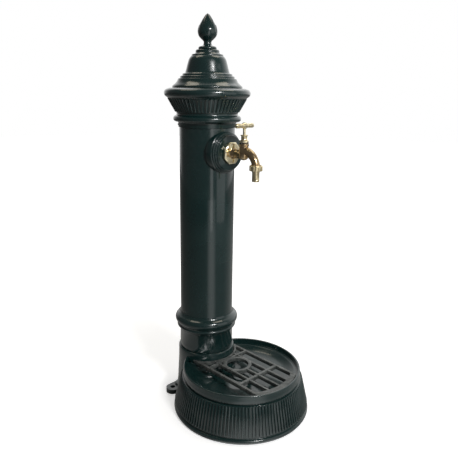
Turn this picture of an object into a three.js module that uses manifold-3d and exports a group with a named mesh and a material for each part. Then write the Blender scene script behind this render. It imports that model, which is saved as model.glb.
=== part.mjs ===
// Cast-iron drinking fountain: basin, column, capital, bell cap and finial, with a brass bib tap.
// Millimetres, +Z up. The front, where the tap and the basin are, faces -Y. The origin is on the
// ground, in the middle of the footprint.

import * as THREE from 'three';
import { mergeVertices } from 'three/addons/utils/BufferGeometryUtils.js';
import Module from 'manifold-3d';

const wasm = await Module();
wasm.setup();

// ---------------------------------------------------------------- driving dimensions
const GAP = 0.3; // clearance kept between touching pieces
const REACH = 1; // how far a cutting tool runs past the metal it cuts

const ROUND = 32; // sides of the large turned castings
const SMALL_ROUND = 16; // sides of the brassware
const TINY_ROUND = 12; // sides of screws and pins

const BASIN_OFFSET = 147; // column axis to basin axis
const FOOT_RADIUS = 188; // drum at the ground
const RIM_RADIUS = 162;
const RIM_HEIGHT = 122;
const BOWL_RADIUS = 156;
const LEDGE_HEIGHT = 107.5; // the grille rests here
const WASTE_HOLE_RADIUS = 19;
const FLOOR_HEIGHT = 84; // lowest part of the bowl
const GRILLE_HOLE_OFFSET = 131; // column axis to the grille's round hole
const GRILLE_CROSS_OFFSET = 210; // column axis to the grille's main cross bar

const PEDESTAL_RADIUS = 80;
const PEDESTAL_HEIGHT = 136;
const PEDESTAL_PLATE = 8; // thickness of its top plate
const LUG_REACH = 102; // centre plane to anchor hole
const LUG_SETBACK = 34; // anchor holes behind the column axis
const LUG_RADIUS = 16;
const LUG_THICKNESS = 12;
const ANCHOR_HOLE_RADIUS = 6;

const COLUMN_RADIUS = 74.5;
const COLUMN_BORE = 66;
const COLUMN_TOP = 790;
const SPIGOT_RADIUS = 70; // the capital slips over this
const SPIGOT_HEIGHT = 766.5;
const BOLT_CIRCLE = 56;
const BOLT_RADIUS = 5;

const CAPITAL_RADIUS = 114;
const CAPITAL_TOP = 866.3;
const CAP_TOP = 962;
const TOTAL_HEIGHT = 1050;
const ROD_RADIUS = 5;

const TAP_HEIGHT = 705; // tap inlet axis
const BOSS_FACE = 90.5; // column axis to the face of the tap boss
const SPINDLE_REACH = 138.5; // column axis to spindle axis
const SPOUT_REACH = 181; // column axis to outlet axis
const INLET_RADIUS = 10.3;
const RISER_REACH = 30; // column axis to riser pipe
const RISER_RADIUS = 7.5;
const FLANGE_SCREW_RISE = 19; // flange screws above and below the inlet axis
const FLANGE_SCREW_HOLE = 2.8;
const BODY_TOP = TAP_HEIGHT + 28.3; // top of the tap's chamber
const OUTLET_END = TAP_HEIGHT - 28;
const VALVE_SEAT = TAP_HEIGHT + 9;
const STEM_RADIUS = 3.6;
const SPINDLE_THREAD = 5;

const COLUMN_Y = (BASIN_OFFSET + FOOT_RADIUS - CAPITAL_RADIUS) / 2;
const BASIN_Y = COLUMN_Y - BASIN_OFFSET;
const GRILLE_HOLE_Y = COLUMN_Y - GRILLE_HOLE_OFFSET;

// ---------------------------------------------------------------- materials
const enamel = new THREE.MeshStandardMaterial({ color: 0x0c211f, roughness: 0.22, metalness: 0.1 });
const grilleGrey = new THREE.MeshStandardMaterial({ color: 0x4a5350, roughness: 0.5, metalness: 0.3 });
const brass = new THREE.MeshStandardMaterial({ color: 0xb5964f, roughness: 0.25, metalness: 1 });
const steel = new THREE.MeshStandardMaterial({ color: 0x8d9194, roughness: 0.4, metalness: 1 });
const copper = new THREE.MeshStandardMaterial({ color: 0xb26a45, roughness: 0.35, metalness: 1 });
const rubber = new THREE.MeshStandardMaterial({ color: 0x1b1b1b, roughness: 0.85, metalness: 0 });

// ---------------------------------------------------------------- shape helpers
function weld(geometry) {
  const bare = geometry.clone();
  bare.deleteAttribute('normal');
  bare.deleteAttribute('uv');
  const merged = mergeVertices(bare);
  const corners = merged.index.array;
  const kept = [];
  for (let i = 0; i < corners.length; i += 3) {
    const [a, b, c] = corners.slice(i, i + 3);
    if (a !== b && b !== c && c !== a) kept.push(a, b, c);
  }
  merged.setIndex(kept);
  return merged;
}

function solid(geometry) {
  const closed = weld(geometry);
  const mesh = new wasm.Mesh({
    numProp: 3,
    vertProperties: Float32Array.from(closed.attributes.position.array),
    triVerts: Uint32Array.from(closed.index.array),
  });
  return new wasm.Manifold(mesh);
}

function join(...pieces) {
  return pieces.reduce((whole, piece) => whole.add(piece));
}

function cut(body, ...tools) {
  return tools.reduce((left, tool) => left.subtract(tool), body);
}

function node(name, shape, material) {
  let geometry;
  if (shape.isBufferGeometry) {
    geometry = weld(shape);
  } else {
    const mesh = shape.getMesh();
    geometry = new THREE.BufferGeometry();
    geometry.setAttribute('position', new THREE.BufferAttribute(mesh.vertProperties, 3));
    geometry.setIndex(new THREE.BufferAttribute(mesh.triVerts, 1));
  }
  geometry.computeVertexNormals();
  const part = new THREE.Mesh(geometry, material);
  part.name = name;
  return part;
}

// A shape turned about Z from an outline of [radius, height] points. An outline that starts on
// the axis ends on it; any other closes on itself.
function turned(outline, sides = SMALL_ROUND) {
  const points = outline.map(([radius, height]) => new THREE.Vector2(radius, height));
  if (outline[0][0] > 0) points.push(points[0].clone());
  if (THREE.ShapeUtils.area(points) < 0) points.reverse();
  return new THREE.LatheGeometry(points, sides).rotateX(Math.PI / 2);
}

// The same about the tap's inlet axis: heights become distances in front of the column axis.
function turnedForward(outline, sides = SMALL_ROUND, twist = 0) {
  return turned(outline, sides).rotateZ(twist).rotateX(Math.PI / 2).translate(0, COLUMN_Y, TAP_HEIGHT);
}

function disc(radius, low, high, sides = SMALL_ROUND) {
  return turned([[0, low], [radius, low], [radius, high], [0, high]], sides);
}

function ring(inner, outer, low, high, sides = SMALL_ROUND) {
  return turned([[inner, low], [outer, low], [outer, high], [inner, high]], sides);
}

function box(width, depth, height, x, y, z) {
  return new THREE.BoxGeometry(width, depth, height).translate(x, y, z);
}

function arc(centreRadius, centreHeight, radius, fromDegrees, toDegrees, steps) {
  const points = [];
  for (let i = 0; i <= steps; i += 1) {
    const angle = THREE.MathUtils.degToRad(fromDegrees + ((toDegrees - fromDegrees) * i) / steps);
    points.push([centreRadius + radius * Math.cos(angle), centreHeight + radius * Math.sin(angle)]);
  }
  return points;
}

function onCircle(radius, degrees) {
  const angle = THREE.MathUtils.degToRad(degrees);
  return [radius * Math.cos(angle), radius * Math.sin(angle)];
}

function hexNut(acrossCorners, hole, low, high, holeSides = TINY_ROUND) {
  const block = solid(disc(acrossCorners / 2, low, high, 6));
  return cut(block, solid(disc(hole, low - REACH, high + REACH, holeSides)));
}

const atColumn = (geometry) => geometry.translate(0, COLUMN_Y, 0);
const atBasin = (geometry) => geometry.translate(0, BASIN_Y, 0);
const atSpindle = (geometry) => geometry.translate(0, COLUMN_Y - SPINDLE_REACH, 0);
const atSpout = (geometry) => geometry.translate(0, COLUMN_Y - SPOUT_REACH, 0);
const atRiser = (geometry) => geometry.translate(0, COLUMN_Y - RISER_REACH, 0);

const boltAngles = [90, 210, 330];

// ---------------------------------------------------------------- base
function anchorLug(side) {
  const inner = 70;
  const flare = 8;
  const shape = new THREE.Shape();
  shape.moveTo(inner, -LUG_RADIUS - flare);
  shape.lineTo(LUG_REACH, -LUG_RADIUS);
  shape.absarc(LUG_REACH, 0, LUG_RADIUS, -Math.PI / 2, Math.PI / 2, false);
  shape.lineTo(inner, LUG_RADIUS);
  const hole = new THREE.Path();
  hole.absarc(LUG_REACH, 0, ANCHOR_HOLE_RADIUS, 0, Math.PI * 2, true);
  shape.holes.push(hole);
  const settings = { depth: LUG_THICKNESS, bevelEnabled: false, curveSegments: 8 };
  const lug = new THREE.ExtrudeGeometry(shape, settings);
  const placed = solid(lug.translate(0, COLUMN_Y + LUG_SETBACK, 0));
  return side > 0 ? placed : placed.mirror([1, 0, 0]);
}

function basinCasting() {
  const drum = solid(atBasin(turned([
    [0, 0], [FOOT_RADIUS, 0], [FOOT_RADIUS, 7], [FOOT_RADIUS - 4, 11], [FOOT_RADIUS - 3, 15],
    [169, 90], [RIM_RADIUS, 95], [RIM_RADIUS, RIM_HEIGHT - 1.5],
    [RIM_RADIUS - 1.5, RIM_HEIGHT], [0, RIM_HEIGHT],
  ], ROUND)));
  const bowl = solid(atBasin(turned([
    [0, FLOOR_HEIGHT], [30, FLOOR_HEIGHT], [105, 89], [130, 95], [143, 104], [147, LEDGE_HEIGHT],
    [BOWL_RADIUS, LEDGE_HEIGHT], [BOWL_RADIUS, RIM_HEIGHT + REACH], [0, RIM_HEIGHT + REACH],
  ], ROUND)));
  const underside = solid(atBasin(turned([
    [0, -REACH], [179, -REACH], [161, 86], [153, 99], [143, 98], [130, 88], [105, 82],
    [30, FLOOR_HEIGHT - 6], [0, FLOOR_HEIGHT - 6],
  ], ROUND)));
  const pedestal = solid(atColumn(turned([
    [0, 0], [PEDESTAL_RADIUS + 7, 0], [PEDESTAL_RADIUS + 7, 6], [PEDESTAL_RADIUS + 2, 14],
    [PEDESTAL_RADIUS, 60], [PEDESTAL_RADIUS, PEDESTAL_HEIGHT - 3],
    [PEDESTAL_RADIUS - 3, PEDESTAL_HEIGHT], [0, PEDESTAL_HEIGHT],
  ], ROUND)));
  const apron = solid(atColumn(turned([
    [0, 80], [93, 80], [91, 92], [87, 98], [87, LEDGE_HEIGHT], [0, LEDGE_HEIGHT],
  ], ROUND)));
  const pedestalRoom = solid(atColumn(turned([
    [0, -REACH], [79, -REACH], [74, 20], [73, PEDESTAL_HEIGHT - PEDESTAL_PLATE],
    [0, PEDESTAL_HEIGHT - PEDESTAL_PLATE],
  ], ROUND)));
  const plateTop = PEDESTAL_HEIGHT + REACH;
  const plateBottom = PEDESTAL_HEIGHT - PEDESTAL_PLATE - REACH;
  const pipeHole = solid(atColumn(disc(40, plateBottom, plateTop)));
  const wasteHole = solid(atBasin(disc(WASTE_HOLE_RADIUS, FLOOR_HEIGHT - 14, FLOOR_HEIGHT + 6)));
  const boltHoles = boltAngles.map((degrees) => {
    const [x, y] = onCircle(BOLT_CIRCLE, degrees);
    const hole = disc(BOLT_RADIUS + 0.5, plateBottom, plateTop, TINY_ROUND);
    return solid(atColumn(hole.translate(x, y, 0)));
  });
  const blank = join(drum, pedestal, anchorLug(1), anchorLug(-1));
  const pedestalWall = cut(pedestal, pedestalRoom);
  const rooms = [cut(bowl, pedestal, apron), cut(underside, pedestalWall), pedestalRoom];
  return node('basin_casting', cut(blank, ...rooms, pipeHole, wasteHole, ...boltHoles), enamel);
}

function grille() {
  const thickness = 10;
  const low = LEDGE_HEIGHT + GAP;
  const high = low + thickness;
  const outerRadius = BOWL_RADIUS - 3;
  const bandWidth = 15;
  const halfWidth = 77;
  const columnClearance = PEDESTAL_RADIUS + 3;
  const sidebarWidth = 8;
  const barWidth = 7;
  const innerBar = 36.5;
  const holeRadius = 31;
  const crossY = COLUMN_Y - GRILLE_CROSS_OFFSET;
  const rearCrossY = GRILLE_HOLE_Y + innerBar + 2;
  const length = 2 * outerRadius;
  const centreBarY = GRILLE_HOLE_Y - holeRadius - outerRadius / 2;
  const rearCut = 18;
  const middle = (low + high) / 2;

  const bars = [];
  for (const side of [-1, 1]) {
    const x = side * (halfWidth - sidebarWidth / 2);
    bars.push(solid(box(sidebarWidth, length, thickness, x, BASIN_Y, middle)));
    bars.push(solid(box(barWidth, length, thickness, side * innerBar, BASIN_Y, middle)));
  }
  bars.push(solid(box(barWidth, outerRadius, thickness, 0, centreBarY, middle)));
  bars.push(solid(box(2 * halfWidth, sidebarWidth, thickness, 0, crossY, middle)));
  bars.push(solid(box(2 * halfWidth, barWidth, thickness, 0, rearCrossY, middle)));
  bars.push(solid(disc(innerBar + 3, low, high).translate(0, GRILLE_HOLE_Y, 0)));
  bars.push(solid(atBasin(ring(outerRadius - bandWidth, outerRadius, low, high, ROUND))));
  bars.push(solid(atColumn(ring(columnClearance, columnClearance + barWidth, low, high, ROUND))));

  const outline = cut(
    solid(box(2 * halfWidth, 2 * length, thickness, 0, COLUMN_Y - length - rearCut, middle)),
    solid(atColumn(disc(columnClearance, low - REACH, high + REACH, ROUND))),
  ).intersect(solid(atBasin(disc(outerRadius, low, high, ROUND))));
  const waterHole = solid(disc(holeRadius, low - REACH, high + REACH).translate(0, GRILLE_HOLE_Y, 0));
  return node('grille', cut(join(...bars).intersect(outline), waterHole), grilleGrey);
}

function wasteFittings() {
  const floor = FLOOR_HEIGHT;
  const tubeRadius = 17.5;
  const tubeEnd = 58;
  const flangeTop = floor + 3;
  const nutLow = 67;
  const nutHigh = nutLow + 7.6;
  const sealHigh = floor - 6 - GAP - 0.1;
  const plate = solid(turned([
    [0, floor + GAP], [15, floor + GAP], [15, tubeEnd], [tubeRadius, tubeEnd], [tubeRadius, floor + GAP],
    [26, floor + GAP], [26, floor + 1.5], [24, flangeTop], [0, flangeTop],
  ]));
  const strainerHoles = [0, 60, 120, 180, 240, 300].map((degrees) => {
    const [x, y] = onCircle(9, degrees);
    return solid(disc(3, floor - REACH, flangeTop + REACH, 8).translate(x, y, 0));
  });
  const strainer = cut(plate, ...strainerHoles).translate([0, BASIN_Y, 0]);
  const nut = hexNut(56, tubeRadius + 0.4, nutLow, nutHigh, SMALL_ROUND).translate([0, BASIN_Y, 0]);
  return [
    node('waste_strainer', strainer, enamel),
    node('waste_seal', atBasin(ring(tubeRadius + 0.4, 27, nutHigh + GAP, sealHigh)), rubber),
    node('waste_backnut', nut, brass),
    node('waste_pipe', atBasin(ring(12.6, 14.6, 4, 66)), copper),
  ];
}

// ---------------------------------------------------------------- column
function columnShaft() {
  const foot = PEDESTAL_HEIGHT + GAP;
  const flangeTop = foot + 10;
  const shelf = COLUMN_TOP - 8;
  const outer = [
    [45, foot], [75.5, foot], [76.5, foot + 2], [76, 190], [79, 193], [79, 198],
    ...arc(80, 203, 5, -60, 60, 2),
    ...arc(76, 223, 14, -60, 70, 5),
    [77, 240], [COLUMN_RADIUS, 246], [COLUMN_RADIUS, SPIGOT_HEIGHT - GAP],
    [SPIGOT_RADIUS, SPIGOT_HEIGHT - GAP], [SPIGOT_RADIUS, COLUMN_TOP],
    [54, COLUMN_TOP], [54, shelf], [COLUMN_BORE, shelf], [COLUMN_BORE, flangeTop], [45, flangeTop],
  ];
  const tube = solid(atColumn(turned(outer, ROUND)));
  const boss = solid(turnedForward([
    [0, 60], [57, 60], [55, 70], [52, 76], [52, 79], [49, 80], [49, 84], [46, 85], [46, BOSS_FACE - 2],
    [44, BOSS_FACE], [0, BOSS_FACE],
  ], 24));
  const bore = solid(atColumn(disc(COLUMN_BORE, flangeTop, shelf, ROUND)));
  const tapHoleRadius = INLET_RADIUS + 2;
  const tapHole = solid(turnedForward([
    [0, 40], [tapHoleRadius, 40], [tapHoleRadius, 100], [0, 100],
  ]));
  const screwHoles = [-1, 1].map((side) => {
    const radius = FLANGE_SCREW_HOLE;
    const hole = turnedForward([[0, 74], [radius, 74], [radius, 100], [0, 100]], TINY_ROUND);
    return solid(hole.translate(0, 0, side * FLANGE_SCREW_RISE));
  });
  const boltHoles = boltAngles.map((degrees) => {
    const [x, y] = onCircle(BOLT_CIRCLE, degrees);
    const hole = disc(BOLT_RADIUS + 0.5, foot - REACH, flangeTop + REACH, TINY_ROUND);
    return solid(atColumn(hole.translate(x, y, 0)));
  });
  const shaft = join(tube, cut(boss, bore));
  return node('column_shaft', cut(shaft, tapHole, ...screwHoles, ...boltHoles), enamel);
}

function columnFasteners() {
  const plateUnderside = PEDESTAL_HEIGHT - PEDESTAL_PLATE;
  const nutSeat = PEDESTAL_HEIGHT + GAP + 10 + GAP;
  const pieces = [];
  boltAngles.forEach((degrees, index) => {
    const [x, y] = onCircle(BOLT_CIRCLE, degrees);
    const head = solid(disc(9.2, plateUnderside - GAP - 6.4, plateUnderside - GAP, 6));
    const shank = solid(disc(BOLT_RADIUS, plateUnderside - REACH, nutSeat + 13, TINY_ROUND));
    const place = [x, COLUMN_Y + y, 0];
    pieces.push(node(`column_bolt_${index + 1}`, join(head, shank).translate(place), steel));
    const nut = hexNut(18.4, BOLT_RADIUS + GAP, nutSeat, nutSeat + 8).translate(place);
    pieces.push(node(`column_nut_${index + 1}`, nut, steel));
  });
  return pieces;
}

function capital() {
  const outline = [
    [SPIGOT_RADIUS + 0.4, SPIGOT_HEIGHT], [76.7, SPIGOT_HEIGHT], [76.7, 777], [79, 780],
    ...arc(82.3, 788.6, 8, -75, 75, 4),
    [81.5, 799], [84.6, 811], [91.9, 823], [99.8, 837], [107, 842],
    ...arc(CAPITAL_RADIUS - 10.8, 853.5, 10.8, -60, 80, 7),
    [97, CAPITAL_TOP], [86, CAPITAL_TOP], [86, 858], [76, 812], [73, 797], [60, 796],
    [60, COLUMN_TOP + GAP], [SPIGOT_RADIUS + 0.4, COLUMN_TOP + GAP],
  ];
  const casting = solid(atColumn(turned(outline, ROUND)));
  const holes = [-1, 1].map((side) => capitalScrewTool(3.3, 68, 80, side));
  return node('capital', cut(casting, ...holes), enamel);
}

// A radial cylinder at a set-screw's place on the capital's skirt, 48 degrees round from each side.
function capitalScrewTool(radius, from, to, side) {
  const pin = disc(radius, from, to, TINY_ROUND).rotateY(Math.PI / 2);
  pin.rotateZ(THREE.MathUtils.degToRad(side > 0 ? 48 : 132));
  return solid(atColumn(pin.translate(0, 0, 772)));
}

function capitalScrews() {
  return [
    node('capital_screw_left', capitalScrewTool(3, SPIGOT_RADIUS + GAP, 78.2, -1), steel),
    node('capital_screw_right', capitalScrewTool(3, SPIGOT_RADIUS + GAP, 78.2, 1), steel),
  ];
}

function bellCap() {
  const foot = CAPITAL_TOP + GAP;
  const outline = [
    [92.5, foot], [92.5, 870], [88, 874.5], [82, 880], [77.5, 887], [76, 890], [71.5, 890.5],
    [71.5, 895], [70, 896.5], [65.5, 897], [65.5, 901], [64, 902.5], [59, 903], [57.5, 906],
    [55.5, 913], [52.3, 925], [48.5, 937.5], [44.8, 943], [39.5, 949], [33, 952], [31, 954],
    [31, 959], [28, CAP_TOP], [ROD_RADIUS + 1, CAP_TOP], [ROD_RADIUS + 1, 955],
    [26, 947], [38, 941], [43, 934], [52, 903], [60, 889], [70, 884], [82, 873], [85, foot],
  ];
  return node('bell_cap', atColumn(turned(outline, ROUND)), enamel);
}

function finial() {
  const foot = CAP_TOP + GAP;
  const threadTop = 985;
  const outline = [
    [0, threadTop + 3], [ROD_RADIUS + GAP, threadTop], [ROD_RADIUS + GAP, foot],
    [22, foot], [24, foot + 2], [24, 967.5], [21, 970], [12, 973], [10, 977],
    [10.5, 982], [14.7, 986.5], [19.3, 991], [22.3, 996], [24, 1001], [24.5, 1007], [23.8, 1014],
    [21.6, 1022], [18.3, 1030], [12.6, 1039.5], [7.6, 1044.5], [2.5, 1048.5], [0, TOTAL_HEIGHT],
  ];
  return node('finial', atColumn(turned(outline, SMALL_ROUND)), enamel);
}

function capClamp() {
  const barTop = COLUMN_TOP - 8 - GAP;
  const barThickness = 6;
  const barBottom = barTop - barThickness;
  const washerBottom = barBottom - GAP - 2;
  const nutBottom = washerBottom - GAP - 8;
  const bar = cut(
    solid(box(124, 22, barThickness, 0, COLUMN_Y, barTop - barThickness / 2)),
    solid(atColumn(disc(ROD_RADIUS + 0.5, barBottom - REACH, barTop + REACH, TINY_ROUND))),
  );
  const nut = hexNut(18.4, ROD_RADIUS + GAP, nutBottom, nutBottom + 8).translate([0, COLUMN_Y, 0]);
  return [
    node('bridge_bar', bar, steel),
    node('tie_rod', atColumn(disc(ROD_RADIUS, nutBottom - 6, 982, TINY_ROUND)), steel),
    node('tie_rod_washer', atColumn(ring(ROD_RADIUS + GAP, 10, washerBottom, washerBottom + 2)), steel),
    node('tie_rod_nut', nut, steel),
  ];
}

// ---------------------------------------------------------------- water supply
function waterSupply() {
  const pipeBottom = 32;
  const pipeTop = 690;
  const socketFoot = 680;
  const elbowFront = 62;
  const upright = solid(atRiser(disc(12, socketFoot, TAP_HEIGHT)));
  const knuckle = solid(atRiser(new THREE.SphereGeometry(13, SMALL_ROUND, 12).translate(0, 0, TAP_HEIGHT)));
  const socket = solid(turnedForward([
    [0, RISER_REACH], [12, RISER_REACH], [15, 44], [15, elbowFront], [0, elbowFront],
  ]));
  const pipeRoom = solid(atRiser(disc(RISER_RADIUS + GAP, socketFoot - REACH, pipeTop + GAP)));
  const passage = solid(atRiser(disc(6, pipeTop - REACH, TAP_HEIGHT)));
  const outlet = solid(turnedForward([
    [0, RISER_REACH - 4], [6, RISER_REACH - 4], [6, 45], [INLET_RADIUS + GAP, 45],
    [INLET_RADIUS + GAP, elbowFront + REACH], [0, elbowFront + REACH],
  ]));
  const elbow = cut(join(upright, knuckle, socket), pipeRoom, passage, outlet);
  const nut = hexNut(28, RISER_RADIUS + GAP, socketFoot - GAP - 13, socketFoot - GAP, SMALL_ROUND);
  const coupling = cut(
    solid(disc(14, 14, 50, 6)),
    solid(disc(9.5, 14 - REACH, pipeBottom - 2)),
    solid(disc(6, 20, pipeBottom + 2)),
    solid(disc(RISER_RADIUS + GAP, pipeBottom - GAP, 50 + REACH)),
  );
  const place = [0, COLUMN_Y - RISER_REACH, 0];
  return [
    node('riser_pipe', atRiser(ring(RISER_RADIUS - 1, RISER_RADIUS, pipeBottom, pipeTop)), copper),
    node('riser_elbow', elbow, brass),
    node('riser_nut', nut.translate(place), brass),
    node('inlet_coupling', coupling.translate(place), brass),
  ];
}

// ---------------------------------------------------------------- tap
function tapFlange() {
  const back = BOSS_FACE + GAP + 1.2 + GAP;
  const front = back + 8;
  const inletRadius = INLET_RADIUS + 0.5;
  const sides = 8;
  const plate = solid(turnedForward([
    [0, back], [30, back], [30, front - 3], [26, front], [0, front],
  ], sides, Math.PI / sides));
  const drill = (radius, drillSides) => turnedForward([
    [0, BOSS_FACE - REACH], [radius, BOSS_FACE - REACH], [radius, front + REACH], [0, front + REACH],
  ], drillSides);
  const inletHole = solid(drill(inletRadius, SMALL_ROUND));
  const screwHoles = [-1, 1].map((side) => {
    const hole = drill(FLANGE_SCREW_HOLE, TINY_ROUND);
    return solid(hole.translate(0, 0, side * FLANGE_SCREW_RISE));
  });
  const headTop = front + 2.6;
  const screws = [-1, 1].map((side) => {
    const screw = turnedForward([
      [0, 78], [2.5, 78], [2.5, front + GAP], [4.3, front + GAP], [3.4, headTop], [0, headTop],
    ], TINY_ROUND);
    const name = side > 0 ? 'flange_screw_upper' : 'flange_screw_lower';
    return node(name, screw.translate(0, 0, side * FLANGE_SCREW_RISE), brass);
  });
  const gasket = solid(turnedForward([
    [inletRadius, BOSS_FACE + GAP], [27, BOSS_FACE + GAP], [27, back - GAP], [inletRadius, back - GAP],
  ]));
  return [
    node('tap_flange', cut(plate, inletHole, ...screwHoles), brass),
    node('flange_gasket', cut(gasket, ...screwHoles), rubber),
    ...screws,
  ];
}

function spoutPath(extra) {
  const stations = [
    [SPINDLE_REACH + 2, 10], [152, 8.5], [165, 1.5], [175, -9], [180, -18],
    [SPOUT_REACH, -26 - extra],
  ];
  return new THREE.CatmullRomCurve3(stations.map(([reach, rise]) => (
    new THREE.Vector3(0, COLUMN_Y - reach, TAP_HEIGHT + rise)
  )));
}

function spoutTube(radius, extra) {
  const section = new THREE.Shape().absarc(0, 0, radius, 0, Math.PI * 2, false);
  const extrudePath = spoutPath(extra);
  const settings = { steps: 9, bevelEnabled: false, curveSegments: 6, extrudePath };
  return solid(new THREE.ExtrudeGeometry(section, settings));
}

function tapBody() {
  const top = BODY_TOP;
  const barrelStart = BOSS_FACE + 3 * GAP + 9.2;
  const barrel = solid(turnedForward([
    [0, 46], [INLET_RADIUS, 46], [INLET_RADIUS, barrelStart], [14, barrelStart], [14, barrelStart + 3],
    [11, 110], [11.5, 124], [12, SPINDLE_REACH], [0, SPINDLE_REACH],
  ]));
  const chamber = solid(atSpindle(turned([
    [0, TAP_HEIGHT - 14], [7, TAP_HEIGHT - 13], [11, TAP_HEIGHT - 9], [12.5, TAP_HEIGHT],
    [12.5, TAP_HEIGHT + 12], [11.5, TAP_HEIGHT + 20], [12, top - 5], [12, top], [0, top],
  ])));
  const outlet = solid(atSpout(disc(13.1, OUTLET_END, OUTLET_END + 5)));
  const boreEnd = SPINDLE_REACH + 3;
  const inletBore = solid(turnedForward([[0, 45], [5.5, 45], [5.5, boreEnd], [0, boreEnd]]));
  const seatBore = solid(atSpindle(disc(6, TAP_HEIGHT, VALVE_SEAT + REACH)));
  const chamberBore = solid(atSpindle(disc(9.5, VALVE_SEAT, top + REACH)));
  const body = join(barrel, chamber, spoutTube(10.6, 0), outlet);
  return node('tap_body', cut(body, inletBore, seatBore, chamberBore, spoutTube(5, 4)), brass);
}

function tapHeadwork() {
  const washerTop = BODY_TOP + GAP + 1;
  const collar = washerTop + GAP;
  const collarTop = collar + 6.5;
  const boxFloor = collarTop + 2;
  const neckTop = collarTop + 8;
  const stemHole = STEM_RADIUS + GAP;
  const foot = BODY_TOP - 8;
  const hex = solid(disc(11.6, collar, collarTop, 6));
  const threaded = solid(disc(9.2, foot, collar + REACH));
  const neck = solid(disc(7, collarTop - REACH, neckTop));
  const headwork = cut(
    join(hex, threaded, neck),
    solid(disc(SPINDLE_THREAD + GAP, foot - REACH, collarTop)),
    solid(disc(stemHole, foot - REACH, neckTop + REACH)),
    solid(disc(5.6, boxFloor, neckTop + REACH)),
  );
  const glandTop = neckTop + 4.5;
  const gland = turned([
    [7.3, collarTop + GAP], [8.6, collarTop + GAP], [8.6, glandTop - 2.5],
    [9.4, glandTop - 1.5], [9.4, glandTop],
    [stemHole, glandTop], [stemHole, neckTop + GAP], [7.3, neckTop + GAP],
  ]);
  const place = [0, COLUMN_Y - SPINDLE_REACH, 0];
  return [
    node('headwork_washer', atSpindle(ring(9.5, 11.6, BODY_TOP + GAP, washerTop)), rubber),
    node('headwork', headwork.translate(place), brass),
    node('gland_packing', atSpindle(ring(stemHole, 5.3, boxFloor + GAP, neckTop - 0.2)), rubber),
    node('gland_nut', atSpindle(gland), brass),
  ];
}

function tapMovingPieces() {
  const seat = VALVE_SEAT;
  const washerLow = seat + GAP;
  const washerHigh = washerLow + 3;
  const plateLow = washerHigh + GAP;
  const plateHigh = plateLow + 2;
  const spindleLow = plateHigh + 0.4;
  const threadTop = TAP_HEIGHT + 30.5;
  const handleHeight = TAP_HEIGHT + 72;
  const stem = STEM_RADIUS;
  const thread = SPINDLE_THREAD;
  const stub = 1.7;
  const spindle = turned([
    [0, spindleLow + 8], [2.4, spindleLow + 8], [2.4, spindleLow], [thread, spindleLow],
    [thread, threadTop], [stem, threadTop + 1.5], [stem, handleHeight + 6.6],
    [2, handleHeight + 8], [0, handleHeight + 8],
  ]);
  const jumper = turned([
    [0, seat - 5], [stub, seat - 5], [stub, plateLow], [8.5, plateLow], [8.5, plateHigh],
    [2.1, plateHigh], [2.1, spindleLow + 7], [0, spindleLow + 7],
  ]);
  const grip = turned([
    [0, -30], [4.6, -30], [5.6, -29], [5.6, -17], [4.6, -15.5], [5.2, -9], [6.6, -6],
    [6.6, 6], [5.2, 9], [4.6, 15.5], [5.6, 17], [5.6, 29], [4.6, 30], [0, 30],
  ]).rotateY(Math.PI / 2);
  const handle = cut(solid(grip), solid(disc(stem + GAP, -10, 10)));
  const place = [0, COLUMN_Y - SPINDLE_REACH, handleHeight];
  const nut = hexNut(8, stub + GAP, seat - 3.1, seat);
  return [
    node('tap_spindle', atSpindle(spindle), brass),
    node('tap_handle', handle.translate(place), brass),
    node('jumper_valve', atSpindle(jumper), brass),
    node('jumper_washer', atSpindle(ring(stub + GAP, 8.2, washerLow, washerHigh)), rubber),
    node('jumper_nut', nut.translate([0, COLUMN_Y - SPINDLE_REACH, 0]), brass),
  ];
}

function hoseUnion() {
  const flangeTop = OUTLET_END - 2 * GAP - 2.2;
  const flangeLow = flangeTop - 2.5;
  const nutLip = flangeLow - GAP;
  const nutLow = nutLip - 3;
  const nutHigh = TAP_HEIGHT - 22.5;
  const tailEnd = TAP_HEIGHT - 63.5;
  const tail = turned([
    [7.4, tailEnd], [9.2, tailEnd], [9.7, tailEnd + 1.5], [9.7, flangeLow], [12.8, flangeLow],
    [12.8, flangeTop], [7.4, flangeTop],
  ]);
  const nutBody = solid(turned([
    [10.1, nutLow], [15.4, nutLow], [15.9, nutLow + 1], [15.9, nutHigh - 1], [15.4, nutHigh],
    [13.5, nutHigh], [13.5, nutLip], [10.1, nutLip],
  ]));
  const grips = [];
  for (let i = 0; i < 8; i += 1) {
    const [x, y] = onCircle(15.4, 22.5 + 45 * i);
    grips.push(solid(disc(1.8, nutLow + 0.8, nutHigh - 0.8, 8).translate(x, y, 0)));
  }
  const nut = join(nutBody, ...grips).translate([0, COLUMN_Y - SPOUT_REACH, 0]);
  return [
    node('hose_washer', atSpout(ring(7.4, 12.6, flangeTop + GAP, OUTLET_END - GAP)), rubber),
    node('hose_tail', atSpout(tail), brass),
    node('union_nut', nut, brass),
  ];
}

const fountain = new THREE.Group();
fountain.add(
  basinCasting(), grille(), ...wasteFittings(),
  columnShaft(), ...columnFasteners(),
  capital(), ...capitalScrews(), bellCap(), finial(), ...capClamp(),
  ...waterSupply(),
  ...tapFlange(), tapBody(), ...tapHeadwork(), ...tapMovingPieces(), ...hoseUnion(),
);

export default fountain;
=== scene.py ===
"""Looks of a cast-iron drinking fountain with a brass tap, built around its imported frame.

Outlines are radius and height pairs about the axis that they are turned on. Sizes are in
millimetres, apart from the studio's, which are in metres, and angles are in degrees. Finished
pieces are in metres, with their places in their meshes.
"""

import logging
import math
from collections.abc import Callable, Iterator, Sequence
from contextlib import contextmanager
from dataclasses import dataclass, replace
from enum import Enum
from typing import Any

import bpy
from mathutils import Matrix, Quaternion, Vector


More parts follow.
